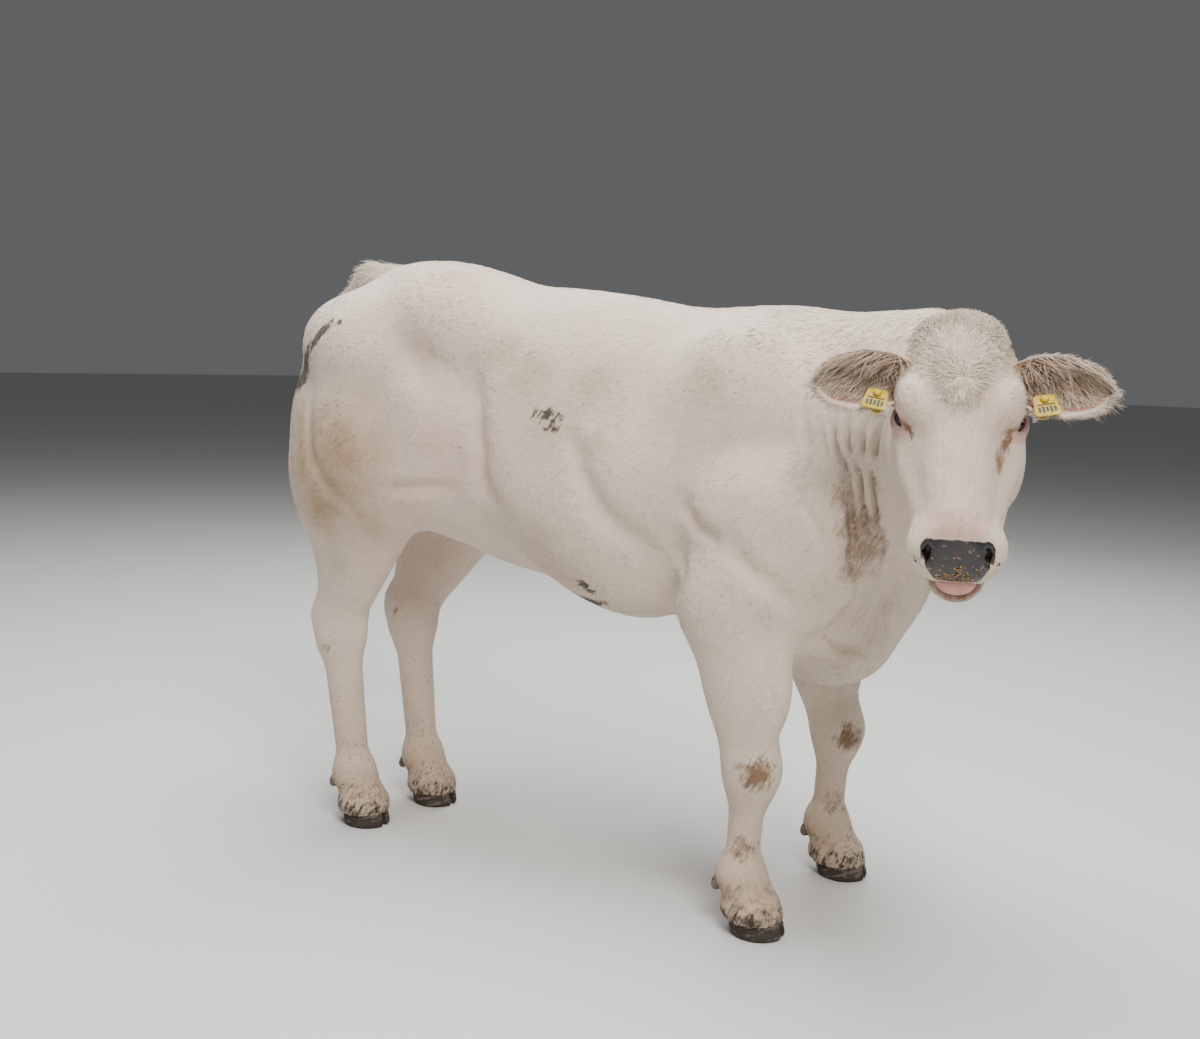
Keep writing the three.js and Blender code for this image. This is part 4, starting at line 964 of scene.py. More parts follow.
def makeTongueMaterial():
    material, tree, shader = newMaterial("tongue", 0.38, {"Coat Weight": 0.25, "Coat Roughness": 0.2,
                                                          "Subsurface Weight": 0.1})
    place = objectPlace(tree)
    patches = noise(tree, place, 60.0, 3.0)
    color = mixColor(tree, patches, tongueLook["pink"], tongueLook["red"])
    crumbs = above(tree, noise(tree, place, 150.0, 3.0), 0.60, 9.0)
    color = mixColor(tree, maths(tree, "MULTIPLY", crumbs, 0.7), color, tongueLook["crumbs"])
    tree.links.new(color, shader.inputs["Base Color"])
    cells = node(tree, "ShaderNodeTexVoronoi", Vector=place, Scale=650.0)
    addBump(tree, shader, cells.outputs["Distance"], 0.6, 0.0006)
    return material


hornLook = {"pale": (0.20, 0.155, 0.12), "dark": (0.085, 0.066, 0.052)}


# Claw horn: growth rings that follow the coronet, mud from the ground up
def makeHornMaterial():
    material, tree, shader = newMaterial("horn", 0.5)
    place = objectPlace(tree)
    comb = attribute(tree, "comb")
    rings = noise(tree, comb, 300.0, 3.0, 0.6)
    color = mixColor(tree, rings, hornLook["pale"], hornLook["dark"])
    dirty = placeGroup(tree, soilingAndShade, Base=color, Rust=0.30, Stain=0.35, Mud=attribute(tree, "mud"),
                       Speck=0.5, Comb=comb)
    tree.links.new(dirty["Color"], shader.inputs["Base Color"])
    rough = maths(tree, "ADD", 0.42, maths(tree, "MULTIPLY", dirty["Dirt"], 0.45))
    tree.links.new(rough, shader.inputs["Roughness"])
    height = maths(tree, "ADD", rings, maths(tree, "MULTIPLY", noise(tree, place, 180.0, 4.0), 0.8))
    addBump(tree, shader, height, 0.7, 0.0014)
    return material


def makeTagMaterial(name, color, worn):
    material, tree, shader = newMaterial(name, 0.45)
    place = objectPlace(tree)
    fade = noise(tree, place, 90.0, 4.0)
    mixed = mixColor(tree, fade, color, worn)
    dirty = placeGroup(tree, soilingAndShade, Base=mixed, Rust=0.12, Stain=0.2, Mud=0.0, Speck=0.35, Comb=place)
    tree.links.new(dirty["Color"], shader.inputs["Base Color"])
    rough = maths(tree, "ADD", 0.34, maths(tree, "MULTIPLY", fade, 0.25))
    tree.links.new(rough, shader.inputs["Roughness"])
    addBump(tree, shader, noise(tree, place, 1200.0, 2.0), 0.25, 0.0003)
    return material


def makeGrainMaterial():
    material, tree, shader = newMaterial("mealGrain", 0.6)
    place = objectPlace(tree)
    color = mixColor(tree, noise(tree, place, 300.0, 2.0), (0.62, 0.36, 0.07), (0.35, 0.17, 0.03))
    tree.links.new(color, shader.inputs["Base Color"])
    return material


def makeSwitchMaterial():
    material, tree, shader = newMaterial("tailHair", 0.7, {"Sheen Weight": 0.1})
    place = objectPlace(tree)
    comb = attribute(tree, "comb")
    streaks = placeGroup(tree, hairStreaks, Comb=comb, Fineness=350.0, Clumping=0.7)
    color = mixColor(tree, streaks["Tint"], (0.84, 0.74, 0.62), (0.55, 0.42, 0.30))
    dirty = placeGroup(tree, soilingAndShade, Base=color, Rust=0.10, Stain=0.12, Mud=attribute(tree, "mud"),
                       Speck=0.3, Comb=comb)
    tree.links.new(dirty["Color"], shader.inputs["Base Color"])
    addBump(tree, shader, streaks["Height"], 0.6, 0.0008)
    return material


# Meshes from arrays of points, in the design's millimetres
def meshFrom(name, points, faces, material):
    mesh = bpy.data.meshes.new(name)
    points = toFrame(points)
    mesh.vertices.add(len(points))
    mesh.vertices.foreach_set("co", points.astype(np.float32).ravel())
    blocks = faces if isinstance(faces, tuple) else (faces,)
    blocks = [np.asarray(block, np.int32) for block in blocks if len(block)]
    corners = np.concatenate([block.ravel() for block in blocks])
    each = np.concatenate([np.full(len(block), block.shape[1], np.int32) for block in blocks])
    starts = np.concatenate([[0], np.cumsum(each)[:-1]])
    mesh.loops.add(len(corners))
    mesh.loops.foreach_set("vertex_index", corners)
    mesh.polygons.add(len(each))
    mesh.polygons.foreach_set("loop_start", starts.astype(np.int32))
    mesh.update(calc_edges=True)
    mesh.validate()
    mesh.shade_smooth()
    obj = bpy.data.objects.new(name, mesh)
    bpy.context.scene.collection.objects.link(obj)
    mesh.materials.append(material)
    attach(obj, "root")
    return obj


def ringFaces(rows, columns, closed=True, start=0):
    r, c = np.meshgrid(np.arange(rows - 1), np.arange(columns if closed else columns - 1), indexing="ij")
    a = start + r * columns + c
    b = start + r * columns + (c + 1) % columns
    return np.stack([a, b, b + columns, a + columns], -1).reshape(-1, 4)


# The skin, one surface over torso, neck, head, legs and tail
print("making the skin piece")
fleshNames = ("torso", "neck", "head", "tail_upper", "tail_lower")
fleshNodes = [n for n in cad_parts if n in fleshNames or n.endswith("_leg")]
skin = meshFrom("skin", skinPoints, skinQuads, coatMaterial)
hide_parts(*fleshNodes)
skinMarks = markings(skinPoints)
addMarks(skin, skinMarks)
addComb(skin, combCoordinates(skinPoints))
skinNormals = np.zeros(len(skinPoints) * 3, np.float32)
skin.data.vertex_normals.foreach_get("vector", skinNormals)
skinNormals = skinNormals.reshape(-1, 3).astype(float)
a, b, c, d = [skinPoints[skinQuads[:, i]] for i in range(4)]
quadArea = np.linalg.norm(np.cross(c - a, d - b), axis=1) / 2
skinArea = np.zeros(len(skinPoints))
for i in range(4):
    np.add.at(skinArea, skinQuads[:, i], quadArea / 4)
dice = np.random.default_rng(811)


# Eyes
eyeShape = {"across": 40, "round": 26, "iris": 58.0, "pupilWide": 26.0, "pupilHigh": 13.0}
eyeMaterial = makeEyeMaterial()
for name, side in (("right", -1), ("left", 1)):
    centre = eyeCentre(side)
    gaze = np.array([0.16, side * 0.74, 0.66])
    gaze /= np.linalg.norm(gaze)
    level = np.cross(gaze, [1.0, 0, 0])
    level /= np.linalg.norm(level)
    upward = np.cross(level, gaze)
    theta = np.linspace(0, math.pi, eyeShape["round"])
    phi = np.arange(eyeShape["across"]) * 2 * math.pi / eyeShape["across"]
    tt, pp = np.meshgrid(theta, phi, indexing="ij")
    bulge = sizes["eyeRadius"] + 0.9 * np.exp(-(np.degrees(tt) / 34) ** 2) - 0.6
    local = (np.cos(tt)[..., None] * gaze + (np.sin(tt) * np.cos(pp))[..., None] * level
             + (np.sin(tt) * np.sin(pp))[..., None] * upward)
    points = centre + local.reshape(-1, 3) * bulge.reshape(-1, 1)
    faces = ringFaces(eyeShape["round"], eyeShape["across"])
    eye = meshFrom("eyeBall_" + name, fromHead(points), faces, eyeMaterial)
    away = np.degrees(tt).ravel()
    addMask(eye, "iris", smooth(eyeShape["iris"] + 3, eyeShape["iris"] - 3, away))
    oval = np.hypot(away * np.cos(pp).ravel() / eyeShape["pupilWide"],
                    away * np.sin(pp).ravel() / eyeShape["pupilHigh"])
    addMask(eye, "pupil", smooth(1.15, 0.9, oval))
    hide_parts("eye_" + name)


# Tongue: its tip lies over the lower lip, a little hollow along the middle
tongueShape = {"size": (23, 33, 12), "at": (muzzleEnd + 50, 0, -113), "tilt": 20}
theta, phi = np.meshgrid(np.linspace(0, math.pi, 34), np.arange(48) * 2 * math.pi / 48, indexing="ij")
ball = np.stack([np.cos(theta), np.sin(theta) * np.cos(phi), np.sin(theta) * np.sin(phi)], -1).reshape(-1, 3)
top = np.clip(ball[:, 2], 0, 1)
ball[:, 2] -= 0.35 * top * np.exp(-(ball[:, 1] / 0.3) ** 2)
ball[:, 2] -= 0.25 * np.clip(ball[:, 0] - 0.2, 0, 1)
tonguePoints = (ball * tongueShape["size"]) @ turn(0, tongueShape["tilt"], 0).T + tongueShape["at"]
tongue = meshFrom("tonguePiece", fromHead(tonguePoints), ringFaces(34, 48), makeTongueMaterial())
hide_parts("tongue")


# Ears: a cup with a rolled rim
print("making the ears")
earShape = {"root": (92, 84, -62), "rows": 46, "columns": 30, "cup": 30, "halfWidth": 51, "tilt": 0.24}
earMaterial = makeEarSkin()


def earPoint(s, t, back, side):
    width = earShape["halfWidth"] * np.sqrt(np.maximum(1 - ((s - 0.46) / 0.545) ** 2, 0.02))
    cup = earShape["cup"] * np.maximum(1 - s, 0) ** 0.6 + 8
    rise = -cup * (1 - t * t) - 10 * s - earShape["tilt"] * t * width
    rise = rise + (1 - back) * 1.6 * np.sin(7 * t + 1.5) * (1 - t * t) * (1 - s)
    thick = -back * (6 + 9 * (1 - s) ** 2) * (1 - 0.7 * t * t)
    roll = np.clip((-t - 0.45) / 0.55, 0, 1) ** 2 * np.sin(math.pi * np.clip(0.12 + 0.88 * s, 0, 1)) ** 0.5
    rise = rise + 15 * roll
    x = earShape["root"][0] + 4 + 8 * s * s + t * width * (1 - 0.05 * (t < 0)) + 9 * roll
    y = side * (earShape["root"][1] + s * (sizes["earLength"] - 14))
    return np.stack([x, y, earShape["root"][2] + 26 + rise + thick], -1)


def earNormal(s, t, back, side):
    e = 0.01
    ds = earPoint(s + e, t, back, side) - earPoint(s - e, t, back, side)
    dt = earPoint(s, t + e, back, side) - earPoint(s, t - e, back, side)
    n = np.cross(ds, dt)
    n /= np.linalg.norm(n, axis=-1, keepdims=True) + 1e-9
    wanted = np.where(np.asarray(back)[..., None] > 0.5, -1.0, 1.0)
    return n * np.sign(n[..., 2:3] + 1e-9) * wanted


def earUnwrap(s, t, back):
    return np.stack([0.52 + 0.22 * s + 0.24 * back, 0.68 + 0.14 * (t + 1)], -1)


for name, side in (("right", -1), ("left", 1)):
    rows, columns = earShape["rows"], earShape["columns"]
    s, t = np.meshgrid(np.linspace(-0.10, 0.99, rows), np.linspace(-1, 1, columns), indexing="ij")
    front = earPoint(np.clip(s, 0, 1) + np.minimum(s, 0), t, 0.0, side).reshape(-1, 3)
    behind = earPoint(np.clip(s, 0, 1) + np.minimum(s, 0), t, 1.0, side).reshape(-1, 3)
    grid = ringFaces(rows, columns, False)
    offset = rows * columns
    rim = []
    for r in range(rows - 1):
        a, b = r * columns, (r + 1) * columns
        rim += [(a, b, b + offset, a + offset),
                (b - 1, b - 1 + offset, b + columns - 1 + offset, b + columns - 1)]
    for c in range(columns - 1):
        e = (rows - 1) * columns + c
        rim += [(e, e + 1, e + 1 + offset, e + offset), (c, c + offset, c + 1 + offset, c + 1)]
    faces = np.concatenate([grid, grid[:, ::-1] + offset, np.array(rim)])
    if side < 0:
        faces = faces[:, ::-1]
    points = fromHead(np.concatenate([front, behind]))
    ear = meshFrom("earPiece_" + name, points, faces[:, ::-1], earMaterial)
    inner = np.concatenate([smooth(1.0, 0.75, np.abs(t)).ravel() * smooth(1.05, 0.8, s).ravel(), np.zeros(offset)])
    # deep: where the painted shade falls, at the cup's root and middle
    deep = np.concatenate([(smooth(0.5, 0.05, s) * smooth(0.95, 0.3, np.abs(t))).ravel(), np.zeros(offset)])
    addMask(ear, "inner", inner)
    addMask(ear, "deep", deep)
    addComb(ear, np.concatenate([np.stack([s * 12, t * 50, 0 * s], -1).reshape(-1, 3)] * 2) / 1000)
    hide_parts("ear_" + name)


# Ear tags: a plate with rounded edges on a stud, with plain dark bars
tagShape = {"width": 46, "height": 44, "thick": 2.4, "bars": 5}
tagYellow = makeTagMaterial("tagYellow", (0.60, 0.41, 0.0), (0.45, 0.30, 0.0))
tagBars = makeTagMaterial("tagBars", (0.012, 0.012, 0.012), (0.03, 0.03, 0.028))


def plateOutline(width, height, radius, waist):
    ring = []
    for cx, cy, start in ((1, -1, -90), (1, 1, 0), (-1, 1, 90), (-1, -1, 180)):
        half = width / 2 * (waist if cy > 0 else 1)
        for k in range(7):
            angle = math.radians(start + 15 * k)
            ring.append((cx * (half - radius) + radius * math.cos(angle),
                         cy * (height / 2 - radius) + radius * math.sin(angle)))
    return np.array(ring)


def loftRings(rings):
    n = len(rings[0])
    points = np.concatenate(rings + [rings[0].mean(0, keepdims=True), rings[-1].mean(0, keepdims=True)])
    quads = ringFaces(len(rings), n)
    i = np.arange(n)
    top = (len(rings) - 1) * n
    first = np.stack([np.full(n, len(rings) * n), (i + 1) % n, i], 1)
    last = np.stack([np.full(n, len(rings) * n + 1), top + i, top + (i + 1) % n], 1)
    return points, quads, np.concatenate([first, last])


def roundStack(radii, levels, count=28):
    angle = np.arange(count) * 2 * math.pi / count
    return loftRings([np.stack([r * np.cos(angle), r * np.sin(angle), np.full(count, z)], 1)
                      for r, z in zip(radii, levels)])


# Rings of a ball with small holes at its poles, from the bottom up
def ballRings(rows, across, pole):
    theta, phi = np.meshgrid(np.linspace(pole, math.pi - pole, rows),
                             np.arange(across) * 2 * math.pi / across, indexing="ij")
    return np.stack([np.sin(theta) * np.cos(phi), np.sin(theta) * np.sin(phi), np.cos(theta)], -1)[::-1]


def joined(parts):
    points, quads, tris, start = [], [], [], 0
    for p, q, t in parts:
        points.append(p)
        quads.append(q + start)
        tris.append(t + start)
        start += len(p)
    return np.concatenate(points), (np.concatenate(quads), np.concatenate(tris))


for name, side in (("right", -1), ("left", 1)):
    outline = plateOutline(tagShape["width"], tagShape["height"], 7, 0.8)
    low = -tagShape["height"] / 2 + 10
    rings = []
    for inset, z in ((1.0, -1.2), (0.2, -0.8), (0.0, -0.2), (0.0, 0.2), (0.2, 0.8), (1.0, 1.2)):
        shrunk = outline * (1 - inset / 24)
        curve = 0.0025 * shrunk[:, 1] ** 2
        rings.append(np.column_stack([shrunk[:, 0], shrunk[:, 1] + low, z - curve]))
    parts = [loftRings(rings), roundStack([5.5, 6.5, 6.5, 5.5], [-42, -41, 5, 6]),
             roundStack([6.5, 7.5, 7.5, 6.8, 4, 2], [1.4, 1.8, 3.4, 4.2, 4.8, 5.0]),
             roundStack([10.5, 12, 12, 10.5], [-43.6, -43, -41, -40.4])]
    points, faces = joined(parts)
    basis = np.array([[0, -1, 0], [1, 0, 0], [0, 0, 1]], float)
    place = np.array([earShape["root"][0] + 36, side * (earShape["root"][1] + 56), earShape["root"][2] + 22])
    tilt = turn(0, math.degrees(-0.2), math.degrees(side * 0.2))

    def ontoEar(p):
        return fromHead((p @ basis.T) @ tilt.T + place)
    tag = meshFrom("tagPlate_" + name, ontoEar(points), faces, tagYellow)
    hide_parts("ear_tag_" + name)
    bars = []
    for k in range(tagShape["bars"]):
        x = -13 + 6.5 * k
        tall = 13 if k % 2 else 10
        box = plateOutline(4.2, tall, 0.8, 1.0)
        bars.append(loftRings([np.column_stack([box[:, 0] * f + x, box[:, 1] * f + low - 9,
                                                np.full(len(box), z - 0.0025 * 81)])
                               for f, z in ((1.0, 1.0), (1.0, 1.42), (0.9, 1.52))]))
    line = plateOutline(30, 1.8, 0.6, 1.0)
    bars.append(loftRings([np.column_stack([line[:, 0] * f, line[:, 1] * f + low + 1.2,
                                            np.full(len(line), z)])
                           for f, z in ((1.0, 0.9), (1.0, 1.46), (0.94, 1.56))]))
    points, faces = joined(bars)
    tagMarks = meshFrom("tagMarks_" + name, ontoEar(points), faces, tagBars)


# Claws and dewclaws
print("making the claws")
clawShape = {"rows": 26, "across": 48, "ringDepth": 0.010, "rings": 7}
hornMaterial = makeHornMaterial()


def clawPart(centreX, centreY, side):
    across, rows = clawShape["across"], clawShape["rows"]
    rise = np.linspace(0, 1, rows)
    keys = [0, 0.12, 0.6, 1]
    ripple = clawShape["ringDepth"] * np.cos(rise * clawShape["rings"] * 2 * math.pi)
    size = np.interp(rise, keys, [0.93, 1, 0.97, 0.93]) * (1 - ripple)
    size[0] = 0.93
    lean = np.interp(rise, keys, [0, 0, -7, -16])
    angle = np.arange(across) * 2 * math.pi / across
    forward, outward = np.cos(angle), np.sin(angle)
    width = np.where(outward > 0, sizes["clawWidth"], sizes["clawWidth"] * 0.16)
    x = size[:, None] * sizes["clawLength"] / 2 * np.sign(forward) * np.abs(forward) ** 0.9 + 12 + lean[:, None]
    taper = 1 - 0.35 * np.maximum(0, forward) ** 2
    y = 3 + (sizes["clawWidth"] * 0.16 + outward * width * taper) * size[:, None] * 0.84
    top = sizes["coronetHeight"] - 0.3 + 0.3 * x - 1
    points = np.stack([centreX + x, centreY + side * np.maximum(1.5, y), rise[:, None] * top], -1)
    return loftRings([ring if side > 0 else ring[::-1] for ring in points])


def dewclawPart(at):
    return loftRings([ring @ turn(0, 24, 0).T + at for ring in ballRings(12, 20, 0.06) * (12, 11, 17)])


for name, (footX, footY) in feet.items():
    fore = name.startswith("fore")
    parts = []
    for side in (-1, 1):
        parts.append(clawPart(footX + 18, footY, side))
        parts.append(dewclawPart(np.array([footX - (50 if fore else 56), footY + side * 24, 92])))
    points, faces = joined(parts)
    horn = meshFrom("claws_" + name, points, faces, hornMaterial)
    growth = points[:, 2] - 0.3 * (points[:, 0] - footX)
    addComb(horn, np.column_stack([points[:, 0] * 0.05, points[:, 1] * 0.05, growth]) / 1000)
    addMask(horn, "mud", 0.25 + 0.5 * smooth(60, 0, points[:, 2]))
    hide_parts(*[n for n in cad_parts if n.startswith(name) and n.endswith("claw")])


# Meal left on the nose pad and the upper lip
grainShape = {"count": 150, "size": (1.0, 2.2)}
front = np.flatnonzero(skinMarks["nose"] > 0.6)
h = toHead(skinPoints[front])
weight = np.exp(-(h[:, 1] / 26) ** 2) * np.exp(-((h[:, 2] + 90) / 26) ** 2) * skinArea[front]
chosen = front[dice.choice(len(front), grainShape["count"], p=weight / weight.sum())]
parts = []
for i in chosen:
    size = dice.uniform(*grainShape["size"])
    spin = turn(*dice.uniform(0, 180, 3))
    at = skinPoints[i] + skinNormals[i] * size * 0.3 + dice.normal(0, 1.2, 3)
    parts.append(loftRings([ring @ spin.T + at for ring in ballRings(5, 6, 0.15) * (1, 0.7, 0.6) * size]))
points, faces = joined(parts)
grains = meshFrom("mealGrains", points, faces, makeGrainMaterial())


# Hair as tufts: three-sided tapered spikes that start just under the skin and lie along it
def makeTufts(name, roots, ways, normals, length, width, marks, comb, uv, rings=3, lift=0.15, sag=0.1,
              wave=0.0, waves=1.0, flat=0.5, material=None):
    count = len(roots)
    length = np.broadcast_to(length, count).astype(float)[:, None]
    width = np.broadcast_to(width, count).astype(float)[:, None]
    lift = np.broadcast_to(lift, count).astype(float)[:, None]
    side = np.cross(normals, ways)
    side /= np.linalg.norm(side, axis=1, keepdims=True) + 1e-9
    phase = dice.uniform(0, 2 * math.pi, (count, 1))
    rows = []
    for r in range(rings + 1):
        t = r / rings
        swing = wave * length * t * np.sin(2 * math.pi * waves * t + phase)
        p = (roots - normals * 0.8 + ways * length * t
             + normals * length * (lift * t - sag * t * t) + side * swing)
        if r == rings:
            rows.append(p[:, None])
            break
        w = width * (1 - t) ** 0.6 * 0.5
        rows.append(np.stack([p + side * w, p - side * w, p + normals * w * flat * 2], 1))
    points = np.concatenate(rows, 1)
    each = points.shape[1]
    quads, tris = [], []
    for r in range(rings - 1):
        for i in range(3):
            j = (i + 1) % 3
            quads.append((r * 3 + i, r * 3 + j, r * 3 + 3 + j, r * 3 + 3 + i))
    last = (rings - 1) * 3
    for i in range(3):
        tris.append((last + i, last + (i + 1) % 3, each - 1))
    tris.append((2, 1, 0))
    base = np.arange(count)[:, None, None] * each
    quads = (np.array(quads)[None] + base).reshape(-1, 4)
    tris = (np.array(tris)[None] + base).reshape(-1, 3)
    obj = meshFrom(name, points.reshape(-1, 3), (quads, tris), material or hairMaterial)
    for mark, values in marks.items():
        addMask(obj, mark, np.repeat(values, each))
    tone = np.repeat(dice.uniform(0, 1, count) ** 2.2 * 1.3, each)
    addMask(obj, "tone", tone * np.tile(np.linspace(1.0, 0.25, each), count))
    addComb(obj, np.repeat(comb, each, 0) + np.tile(np.linspace(0, 0.0004, each), count)[:, None])
    across = np.array([(0, 1, 0.5)[k % 3] for k in range(each)])
    along = np.array([min(k // 3, rings) / rings for k in range(each)])
    patch = np.repeat(uv, each, 0) + 0.003 * (np.tile(np.stack([across, along], 1), (count, 1)) - 0.5)
    layer = obj.data.uv_layers.new(name="OFBake")
    corner = np.zeros(len(obj.data.loops), np.int32)
    obj.data.loops.foreach_get("vertex_index", corner)
    layer.data.foreach_set("uv", np.clip(patch, 0.001, 0.999)[corner].astype(np.float32).ravel())
    print("  ", name, count, "tufts", len(obj.data.polygons), "faces")
    return obj


skinH = toHead(skinPoints)
skinLegAway = legOf(skinPoints)[1]
skinLow = skinPoints[:, 2]
headward = ((skinH[:, 0] > -20) & (np.abs(skinH[:, 1]) < 135) & (skinH[:, 2] > -235)
            & (np.linalg.norm(skinPoints - headOrigin, axis=1) < 560))
bare = np.maximum(skinMarks["nose"], skinMarks["lid"]) > 0.15
eyeNear = eyeDistance(skinH)
nearGround = skinLow < 34


def pickRoots(density, count):
    weight = np.clip(np.asarray(density, float), 0, None) * skinArea * ~bare * ~nearGround
    chosen = dice.choice(len(skinPoints), count, p=weight / weight.sum())
    n = skinNormals[chosen]
    jitter = dice.normal(0, 1, (count, 3)) * np.sqrt(skinArea[chosen])[:, None] * 0.5
    jitter -= n * (jitter * n).sum(1, keepdims=True)
    return chosen, skinPoints[chosen] + jitter, n


def coatTufts(name, density, count, length, width, turnBy=0.25, reach=None, **shape):
    chosen, roots, n = pickRoots(density, count)
    ways = hairLie(roots, n)
    side = np.cross(n, ways)
    angle = dice.normal(0, turnBy, (count, 1))
    ways = ways * np.cos(angle) + side * np.sin(angle)
    marks = {m: v[chosen] for m, v in skinMarks.items() if m not in ("nose", "lid")}
    long = dice.uniform(*length, count) * (reach[chosen] if reach is not None else 1)
    wide = dice.uniform(*width, count) * (np.sqrt(reach[chosen]) if reach is not None else 1)
    makeTufts(name, roots, ways, n, long, wide, marks, combCoordinates(roots), unwrap(roots), **shape)


print("growing the coat")
trunkHair = {"count": 15000, "length": (13, 22), "width": (1.1, 1.9), "rings": 2, "lift": 0.15, "sag": 0.12}
hair = {
    "coatTrunkFront": trunkHair,
    "coatTrunkRear": trunkHair,
    "coatLegs": {"count": 11000, "length": (8, 14), "width": (0.9, 1.5), "rings": 2, "lift": 0.12,
                 "sag": 0.10},
    "coatFace": {"count": 12000, "length": (7, 12), "width": (0.8, 1.3), "rings": 2, "lift": 0.16,
                 "sag": 0.12, "turnBy": 0.2},
    "curls": {"count": 4400, "length": (22, 42), "width": (2.2, 4.6), "rings": 6, "lift": 0.20,
              "sag": 0.17, "wave": 0.16, "waves": 1.3, "turnBy": 0.36},
    "pollTuft": {"count": 1700, "length": (20, 40), "width": (1.6, 2.8), "rings": 5, "lift": 0.34,
                 "sag": 0.24, "wave": 0.12, "turnBy": 0.35},
    "crest": {"count": 3600, "length": (15, 26), "width": (1.1, 1.8), "rings": 3, "lift": 0.26,
              "sag": 0.2, "wave": 0.05},
    "tailHead": {"count": 2400, "length": (22, 44), "width": (1.2, 2.1), "rings": 4, "lift": 0.38,
                 "sag": 0.2, "wave": 0.10, "turnBy": 0.6},
    "tailFringe": {"count": 620, "length": (50, 100), "width": (1.6, 2.8), "rings": 5, "lift": 0.06,
                   "sag": 0.02, "wave": 0.05, "turnBy": 0.08},
    "under": {"count": 4200, "length": (10, 20), "width": (1.0, 1.6), "rings": 3, "lift": 0.18,
              "sag": 0.1, "wave": 0.06, "turnBy": 0.3},
    "elbow": {"count": 700, "length": (18, 34), "width": (1.0, 1.6), "rings": 3, "lift": 0.16,
              "sag": 0.12, "wave": 0.05},
    "feetHair": {"count": 5200, "length": (9, 17), "width": (0.6, 1.0), "rings": 3, "lift": 0.09,
                 "sag": 0.06, "wave": 0.03, "turnBy": 0.16},
}
skinX, skinAcross, upward = skinPoints[:, 0], np.abs(skinH[:, 1]), skinNormals[:, 2]
trunkArea = ~headward & (skinLow > 420)
curlEnd = 150 + 90 * np.exp(-(skinH[:, 1] / 34) ** 2)
spine = (np.abs(skinPoints[:, 1]) < 60) & (upward > 0.75) & (skinLow > 1120) & (skinX > -560)
neckTop = (upward > 0.5) * (skinX > 430) * (skinLow > 1100) * 1.0
tailTop = softSpots(skinPoints, [((-640, 8, 1320), 70, 1.0), ((-700, 16, 1290), 60, 1.0),
                                 ((-745, 26, 1230), 60, 0.7), ((-790, 36, 1100), 60, 0.35),
                                 ((-800, 44, 900), 90, 0.3), ((-796, 46, 700), 110, 0.5)])
brisket = softSpots(skinPoints, [((620, -40, 560), 130, 1.0), ((700, -90, 680), 70, 0.8)])
elbowAt = [((318, side * 235, z), 30, 1.0) for side in (-1, 1) for z in (700, 660, 620)]
coronet = (skinLow < 76) * 1.6 * (skinLow > 40)
fetlockBack = (skinLow < 190) * (skinNormals[:, 0] < -0.35) * 1.0
areas = {
    "coatTrunkFront": trunkArea & (skinX > -120),
    "coatTrunkRear": trunkArea & (skinX <= -120),
    "coatLegs": ~headward & (skinLow <= 560) & (skinLegAway < 200),
    "coatFace": headward * smooth(20, 30, eyeNear),
    "curls": (headward * smooth(curlEnd, curlEnd - 130, skinH[:, 0]) * smooth(104, 56, skinAcross)
              * (skinH[:, 2] > -96)),
    "pollTuft": headward * smooth(34, 8, skinH[:, 0]) * smooth(70, 40, skinAcross) * (skinH[:, 2] > -70),
    "crest": (spine * 0.5 + neckTop) * ~headward,
    "tailHead": (tailTop > 0.25) * tailTop,
    "tailFringe": (skinX < -765) * smooth(790, 690, skinLow) * (skinLow > 635),
    "under": (upward < -0.55) * (skinLow > 480) * (skinX > -60) * ~headward + 0.6 * brisket,
    "elbow": softSpots(skinPoints, elbowAt) ** 2,
    "feetHair": (coronet + fetlockBack) * (skinLegAway < 150),
}
# What the hair's length is cut to: short at the nose pad, and short towards the curls' edge
reaches = {
    "coatFace": 1 - 0.6 * smooth(muzzleEnd - 50, muzzleEnd - 25, skinH[:, 0]),
    "curls": 0.28 + 0.72 * smooth(curlEnd - 20, curlEnd - 150, skinH[:, 0]) * smooth(100, 50, skinAcross),
}
for name, shape in hair.items():
    coatTufts(name, areas[name], reach=reaches.get(name), **shape)


# Hair of the ears: short on the back, long round the rim, and falling over the cup from its upper edge
earHair = {
    "back": {"count": 2000, "length": (9, 17), "width": (0.8, 1.4)},
    "rim": {"count": 3700, "length": (11, 26), "width": (0.8, 1.5)},
    "inside": {"count": 850, "length": (24, 60), "width": (1.4, 3.2)},
}


def earTufts(name, side, s, t, back, ways, long, wide, tan, inner, **shape):
    roots = fromHead(earPoint(s, t, back, side))
    n = earNormal(s, t, back, side) @ headTurn.T
    way = ways @ headTurn.T
    way -= n * (way * n).sum(1, keepdims=True) * 0.8
    way /= np.linalg.norm(way, axis=1, keepdims=True)
    count = len(s)
    marks = {"tan": tan, "stainAndShade": inner, "pink": np.full(count, 0.15)}
    comb = np.column_stack([s * 12, t * 50, 0 * s]) / 1000
    makeTufts(name, roots, way, n, long, wide, marks, comb, earUnwrap(s, t, back), **shape)


